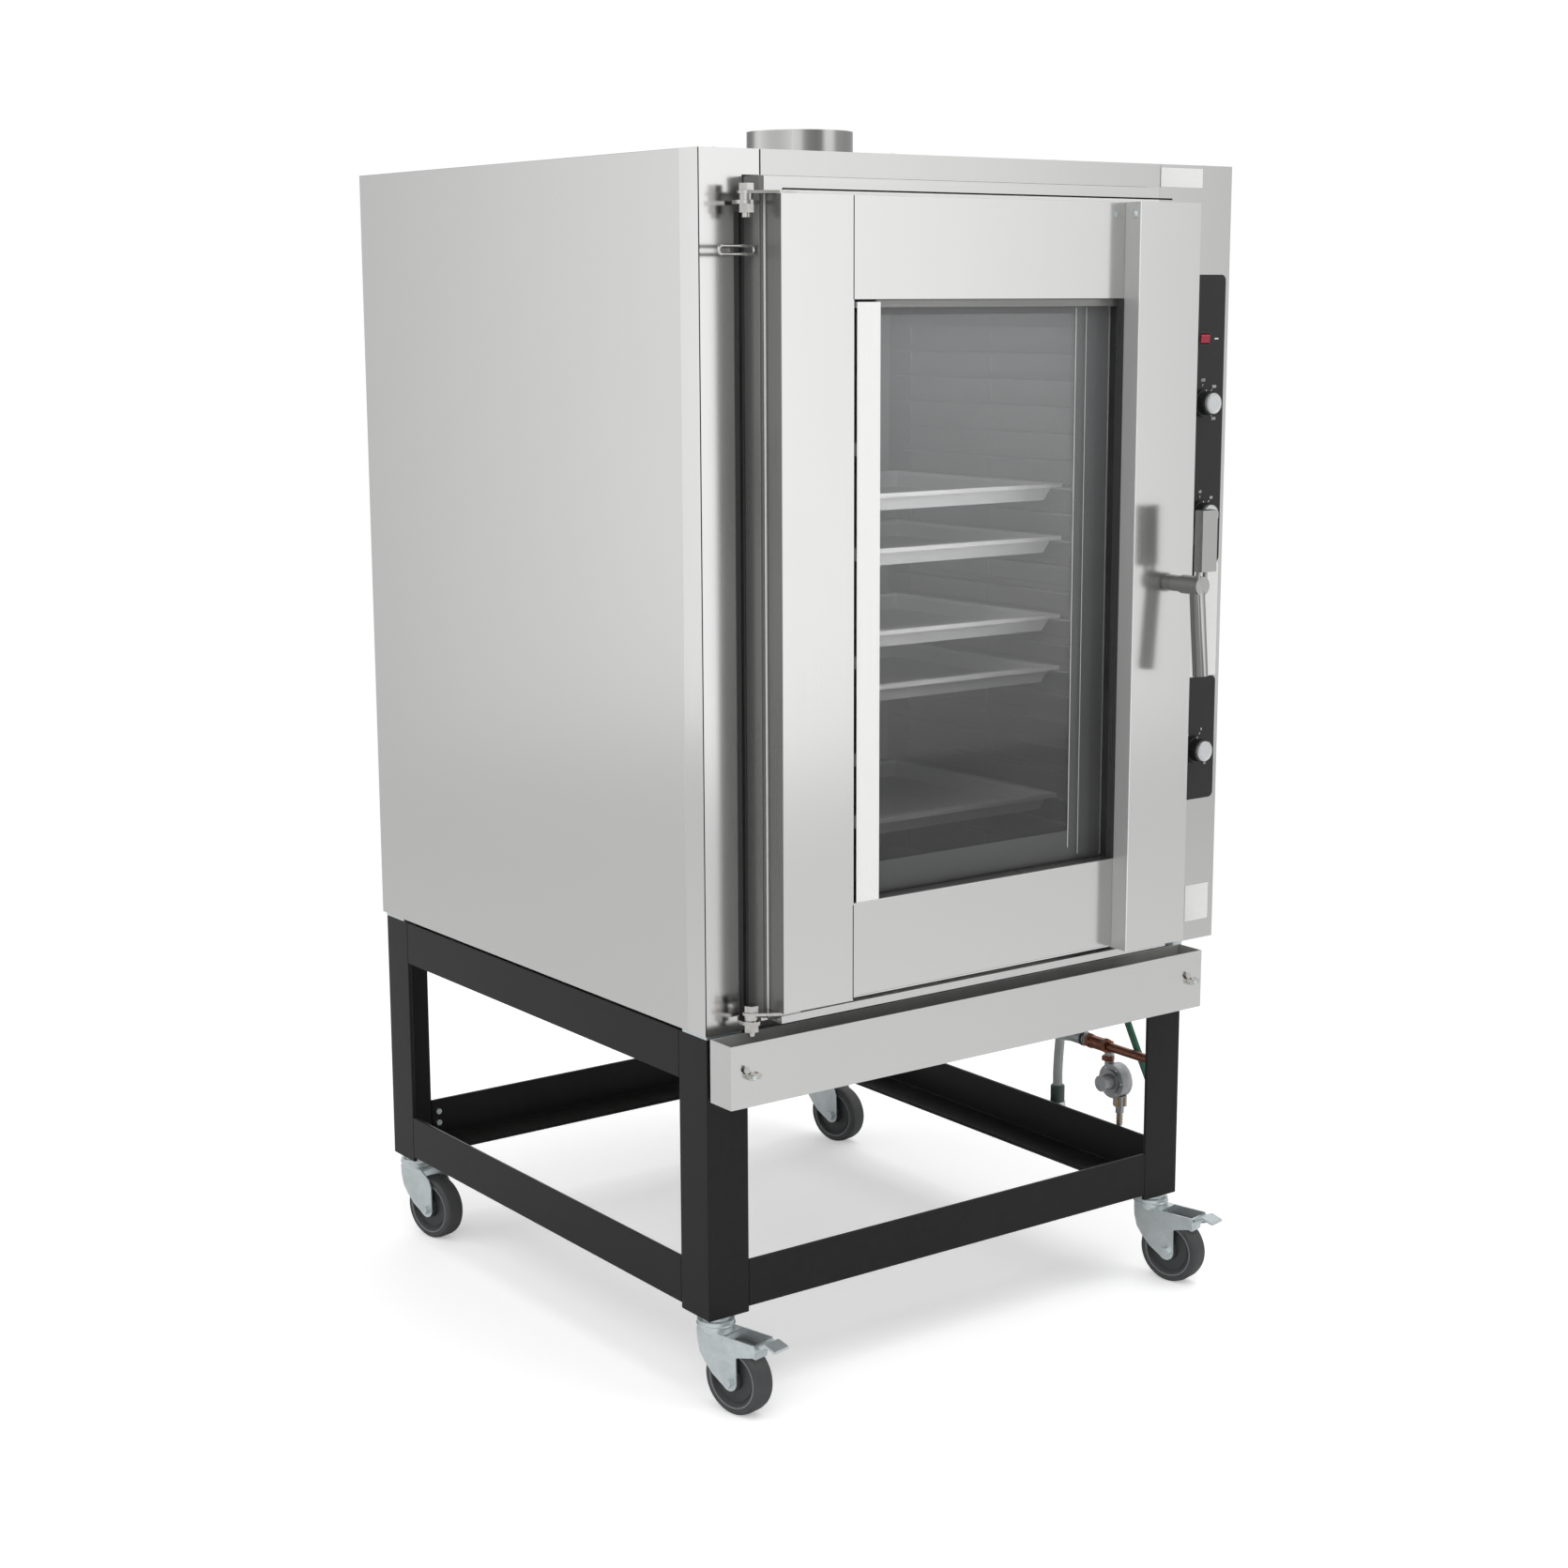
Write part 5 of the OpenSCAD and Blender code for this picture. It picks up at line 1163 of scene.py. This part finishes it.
@dataclass
class Castor:
    """One castor: raised beads in a lighter grey that paint the tyre's highlight, hub, axle nuts
    and race ring.
    """

    shop: Shop
    corner: str
    at: tuple[float, float]
    turn: float = math.radians(13.0)
    trail: float = 44.0
    axle: float = 52.5
    floor: float = -558.0

    def local(self, x: float, y: float, z: float) -> Triple:
        """A point of the castor's own frame, in the cabinet's frame."""
        c, s = math.cos(self.turn), math.sin(self.turn)
        return (self.at[0] + x * c - y * s, self.at[1] + x * s + y * c, z + self.floor)

    def both(self, out: float, make: Callable[[Triple], Piece]) -> Parts:
        """A part made along X on each side of the wheel, turned to the castor's heading.

        Args:
            out: how far each stands from the wheel's middle.
            make: makes one at a place in the cabinet's frame.

        Returns:
            The two parts.
        """
        parts = []
        for side in (-1, 1):
            part = make(self.local(side * out, -self.trail, self.axle))
            part.rotation_mode = "XYZ"
            part.rotation_euler = (0, math.pi / 2, self.turn)
            parts.append(part)
        return parts

    def build(self) -> None:
        """Makes the castor's added pieces."""
        shop, both, wheel = self.shop, self.both, f"roller_{self.corner}"

        def disc(out: float, radius: float, length: float, sides: int, round_mm: float) -> Parts:
            """A round part on each side of the wheel, with Shop.round_bar's sizes."""
            return both(out, lambda at: shop.round_bar(at, radius, length, Axis.X, sides, round_mm))

        hub = disc(9.6, 33.0, 1.6, 64, 0.5) + disc(14.0, 15.5, 6.0, 48, 0.8)
        # Painted highlight: a lighter ring on each side of the tyre.
        highlight_beads = both(16.1, lambda at: shop.ring(at, 41.0, 1.1, Axis.X, 72, 8))
        shop.finish(highlight_beads, f"tyre_highlight_bead_{self.corner}", Look.MOTOR_PAINT, wheel, "tyre_rubber")
        shop.finish(hub, f"hub_{self.corner}", Look.HUB, wheel, "tyre_rubber")
        nuts = disc(25.2, 8.4, 6.0, 6, 0.5) + disc(22.6, 9.6, 1.2, 40, 0.2)
        nuts.append(shop.ring(self.local(0, 0, 124.5), 27.0, 1.3, Axis.Z, 64))
        shop.finish(nuts, f"castor_nuts_{self.corner}", Look.ZINC, f"castor_{self.corner}", "zinc")


@dataclass
class Services:
    """Unions, bands and screws on the gas line and hoses. The line is the pipe's height."""

    shop: Shop
    line: float = -226.0
    regulator: Triple = (943.9, 183.0, -281.0)

    def build(self) -> None:
        """Makes the added pieces of the gas line."""
        shop, finish, line, (x, y, z) = self.shop, self.shop.finish, self.line, self.regulator
        bar = shop.round_bar
        nuts = [bar((952, along, line), 13.2, 9.0, Axis.Y, 6, 0.6) for along in (202, 242)]
        nuts.append(bar((953, 200, line - 20), 11.0, 8.0, Axis.Z, 6, 0.6))
        finish(nuts, "union_nuts", Look.COPPER, "cabinet", "copper")
        tail = [shop.ring((956, 173, -351 + 5 * k), 4.9, 1.0, Axis.Z, 40, 8) for k in range(4)]
        tail.append(bar((956, 173, -314), 11.9, 16.0, Axis.Z, 6, 0.8))
        finish(tail, "gas_tail", Look.BRASS, "cabinet", "copper")
        sleeve = bar((969, 341, -365), 12.2, 68, Axis.Z, 40, 1.2)
        finish(sleeve, "drain_sleeve", Look.SLEEVE, "cabinet", "green_hose")
        union = bar((953, 268, line), 11.6, 30.0, Axis.Y, 40, 1.0)
        finish(union, "grey_union", Look.CAST, "cabinet", "cast_metal")
        band = bar((953, 258, line), 12.6, 5.0, Axis.Y, 40, 0.6)
        finish(band, "union_band", Look.SEAL, "cabinet", "black_rubber")
        screws = []
        for k in range(6):
            a = math.tau * k / 6
            screws.append(shop.screw((x, y + 24 * math.cos(a), z + 24 * math.sin(a)), 2.6, Axis.X))
        finish(screws, "regulator_screws", Look.ZINC, "cabinet", "cast_metal")


@dataclass
class PhotoCamera:
    """The photograph's camera, solved from the cabinet's edges."""

    at: Triple = (-2.4536, -3.2560, 1.5602)
    lens: float = 59.672
    pitch: float = math.radians(10.5309)
    yaw: float = math.radians(36.1998)
    roll: float = math.radians(-0.2091)
    sensor: float = 36.0
    clip: tuple[float, float] = (0.05, 60.0)

    def build(self) -> None:
        """Adds the camera and makes it the scene's own."""
        data = bpy.data.cameras.new("photo_camera")
        data.lens = self.lens
        data.sensor_width = self.sensor
        data.clip_start, data.clip_end = self.clip
        camera = bpy.data.objects.new("photo_camera", data)
        bpy.context.collection.objects.link(camera)
        forward = Vector((math.sin(self.yaw) * math.cos(self.pitch),
                          math.cos(self.yaw) * math.cos(self.pitch), -math.sin(self.pitch)))
        right = Vector((math.cos(self.yaw), -math.sin(self.yaw), 0))
        up = right.cross(forward)
        c, s = math.cos(self.roll), math.sin(self.roll)
        right, up = c * right + s * up, -s * right + c * up
        turn = Matrix((right, up, -forward)).transposed()
        camera.matrix_world = Matrix.Translation(self.at) @ turn.to_4x4()
        bpy.context.scene.camera = camera


@dataclass
class Studio:
    """Pale floor, softly graded surroundings and lamps that only fill the shadows.

    sweep gives the surroundings' light from left, -1, to right, 1. A lamp has its name, place,
    target, edge and watts. The floor's grey values are its diffuse colour as the eye, gloss and
    other light meet it, and the light it gives off to the eye.
    """

    sweep: tuple[tuple[float, float], ...] = (
        (-1.0, 0.9), (-0.75, 1.25), (-0.58, 1.13), (-0.52, 0.92), (-0.44, 0.58), (-0.3, 0.4),
        (0.0, 0.32), (0.2, 0.4), (0.38, 1.22), (0.57, 1.22), (0.65, 1.06), (0.7, 0.86),
        (0.76, 0.58), (1.0, 0.45))
    brightest: float = 1.3
    near: float = 1.25
    far: float = 2.9
    across: float = 9.0
    seen_grey: float = 0.92
    glossy_grey: float = 0.72
    other_grey: float = 0.93
    floor_light: float = 0.34
    lamps: tuple[tuple[str, Triple, Triple, float, float], ...] = (
        ("key_left", (-4.2, -4.6, 4.6), (0.0, 0.0, 0.9), 3.4, 80.0),
        ("top", (0.2, -1.0, 5.4), (0.0, 0.0, 1.0), 4.0, 120.0),
        ("chamber_fill", (-0.05, -0.36, 1.25), (-0.05, 1.0, 1.1), 0.45, 2.2),
    )

    def build(self) -> None:
        """Makes the world, the floor and the lamps."""
        self.world()
        self.floor()
        for name, at, to, size, power in self.lamps:
            self.lamp(name, at, to, size, power)
        bpy.context.scene.view_settings.view_transform = "Standard"

    @staticmethod
    def lamp(name: str, at: Triple, to: Triple, size: float, power: float) -> None:
        """Adds a square lamp that metal doesn't mirror.

        Args:
            name: its name.
            at: where it stands, in metres.
            to: what it points at.
            size: its edge.
            power: its power in watts.
        """
        data = bpy.data.lights.new(name, "AREA")
        data.size = size
        data.energy = power
        lamp = bpy.data.objects.new(name, data)
        lamp.location = at
        lamp.rotation_mode = "QUATERNION"
        lamp.rotation_quaternion = (Vector(to) - Vector(at)).to_track_quat("-Z", "Y")
        lamp.visible_glossy = False
        lamp.visible_camera = False
        lamp.visible_transmission = False
        bpy.context.collection.objects.link(lamp)

    def world(self) -> None:
        """White for the eye, and surroundings graded from left to right for light and gloss."""
        world = bpy.data.worlds.new("studio")
        world.use_nodes = True
        tree = world.node_tree
        around = tree.nodes["Background"]
        around.inputs["Strength"].default_value = self.brightest
        place = add_node(tree, "TexCoord")
        split = add_node(tree, "SeparateXYZ")
        spread = add_node(tree, "MapRange", From_Min=-1.0)
        ramp = add_node(tree, "ValToRGB")
        stops = ramp.color_ramp.elements
        while len(stops) < len(self.sweep):
            stops.new(0.5)
        for stop, (way, light) in zip(stops, self.sweep):
            stop.position = (way + 1) / 2
            stop.color = (*(light / self.brightest,) * 3, 1.0)
        white = add_node(tree, "Background", Color=(1.0, 1.0, 1.0, 1.0))
        path = add_node(tree, "LightPath")
        either = add_node(tree, "Math", {"operation": "MAXIMUM"})
        blend = add_node(tree, "MixShader")
        wire(tree, (place, "Generated", split, 0), (split, "X", spread, "Value"),
             (spread, "Result", ramp, "Fac"), (ramp, "Color", around, "Color"),
             (path, "Is Camera Ray", either, 0), (path, "Is Transmission Ray", either, 1),
             (either, 0, blend, "Fac"), (around, 0, blend, 1), (white, 0, blend, 2),
             (blend, 0, tree.nodes["World Output"], "Surface"))
        bpy.context.scene.world = world

    def floor(self) -> None:
        """A wide pale floor that keeps the oven's shadow and fades into the white."""
        Shop.clear()
        bpy.ops.mesh.primitive_plane_add(size=self.across, location=(0, 0, 0))
        floor = bpy.context.object
        floor.name = "studio_floor"
        material = bpy.data.materials.new("studio_floor")
        material.use_nodes = True
        tree = material.node_tree
        tree.nodes.remove(tree.nodes["Principled BSDF"])
        plain, mirrored, shaded = (
            add_node(tree, "BsdfDiffuse", Color=(grey, grey, grey, 1.0))
            for grey in (self.other_grey, self.glossy_grey, self.seen_grey))
        lift, white = (add_node(tree, "Emission", Color=(grey, grey, grey, 1.0))
                       for grey in (self.floor_light, 1.0))
        lit = add_node(tree, "AddShader")
        place = add_node(tree, "TexCoord")
        reach = add_node(tree, "VectorMath", {"operation": "LENGTH"})
        fade = add_node(tree, "MapRange", {"interpolation_type": "SMOOTHSTEP"},
                        From_Min=self.near, From_Max=self.far)
        path = add_node(tree, "LightPath")
        seen, other, last = (add_node(tree, "MixShader") for _ in range(3))
        wire(tree, (path, "Is Glossy Ray", other, "Fac"), (plain, 0, other, 1),
             (mirrored, 0, other, 2), (shaded, 0, lit, 0), (lift, 0, lit, 1),
             (place, "Object", reach, 0), (reach, "Value", fade, "Value"),
             (fade, "Result", seen, "Fac"), (lit, 0, seen, 1), (white, 0, seen, 2),
             (path, "Is Camera Ray", last, "Fac"), (other, 0, last, 1), (seen, 0, last, 2),
             (last, 0, tree.nodes["Material Output"], "Surface"))
        floor.data.materials.append(material)


def dress_nodes(shop: Shop) -> None:
    """Gives every CAD node its finish.

    Args:
        shop: the bench with the finishes and the frame.
    """
    for look, names in NODE_LOOKS.items():
        for name in names:
            node = shop.frame["nodes"][name]
            node.data.materials.clear()
            node.data.materials.append(shop.book.of(look))


def main() -> None:
    """Loads the frame, builds the sub-assemblies in order and sets the studio."""
    logging.basicConfig(level=logging.INFO, format="%(name)s: %(message)s")
    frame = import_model()
    PhotoCamera().build()
    shop = Shop(FinishBook(), frame)
    dress_nodes(shop)
    castors = [Castor(shop, corner, at) for corner, at in CASTOR_STEMS.items()]
    for part in (Cabinet(shop), Door(shop), Lever(shop), Controls(shop), Stand(shop),
                 Services(shop), *castors):
        part.build()
        LOG.info("built %s", type(part).__name__)
    Studio().build()
    LOG.info("%d pieces made", len(shop.pieces))


if __name__ == "__main__":
    main()
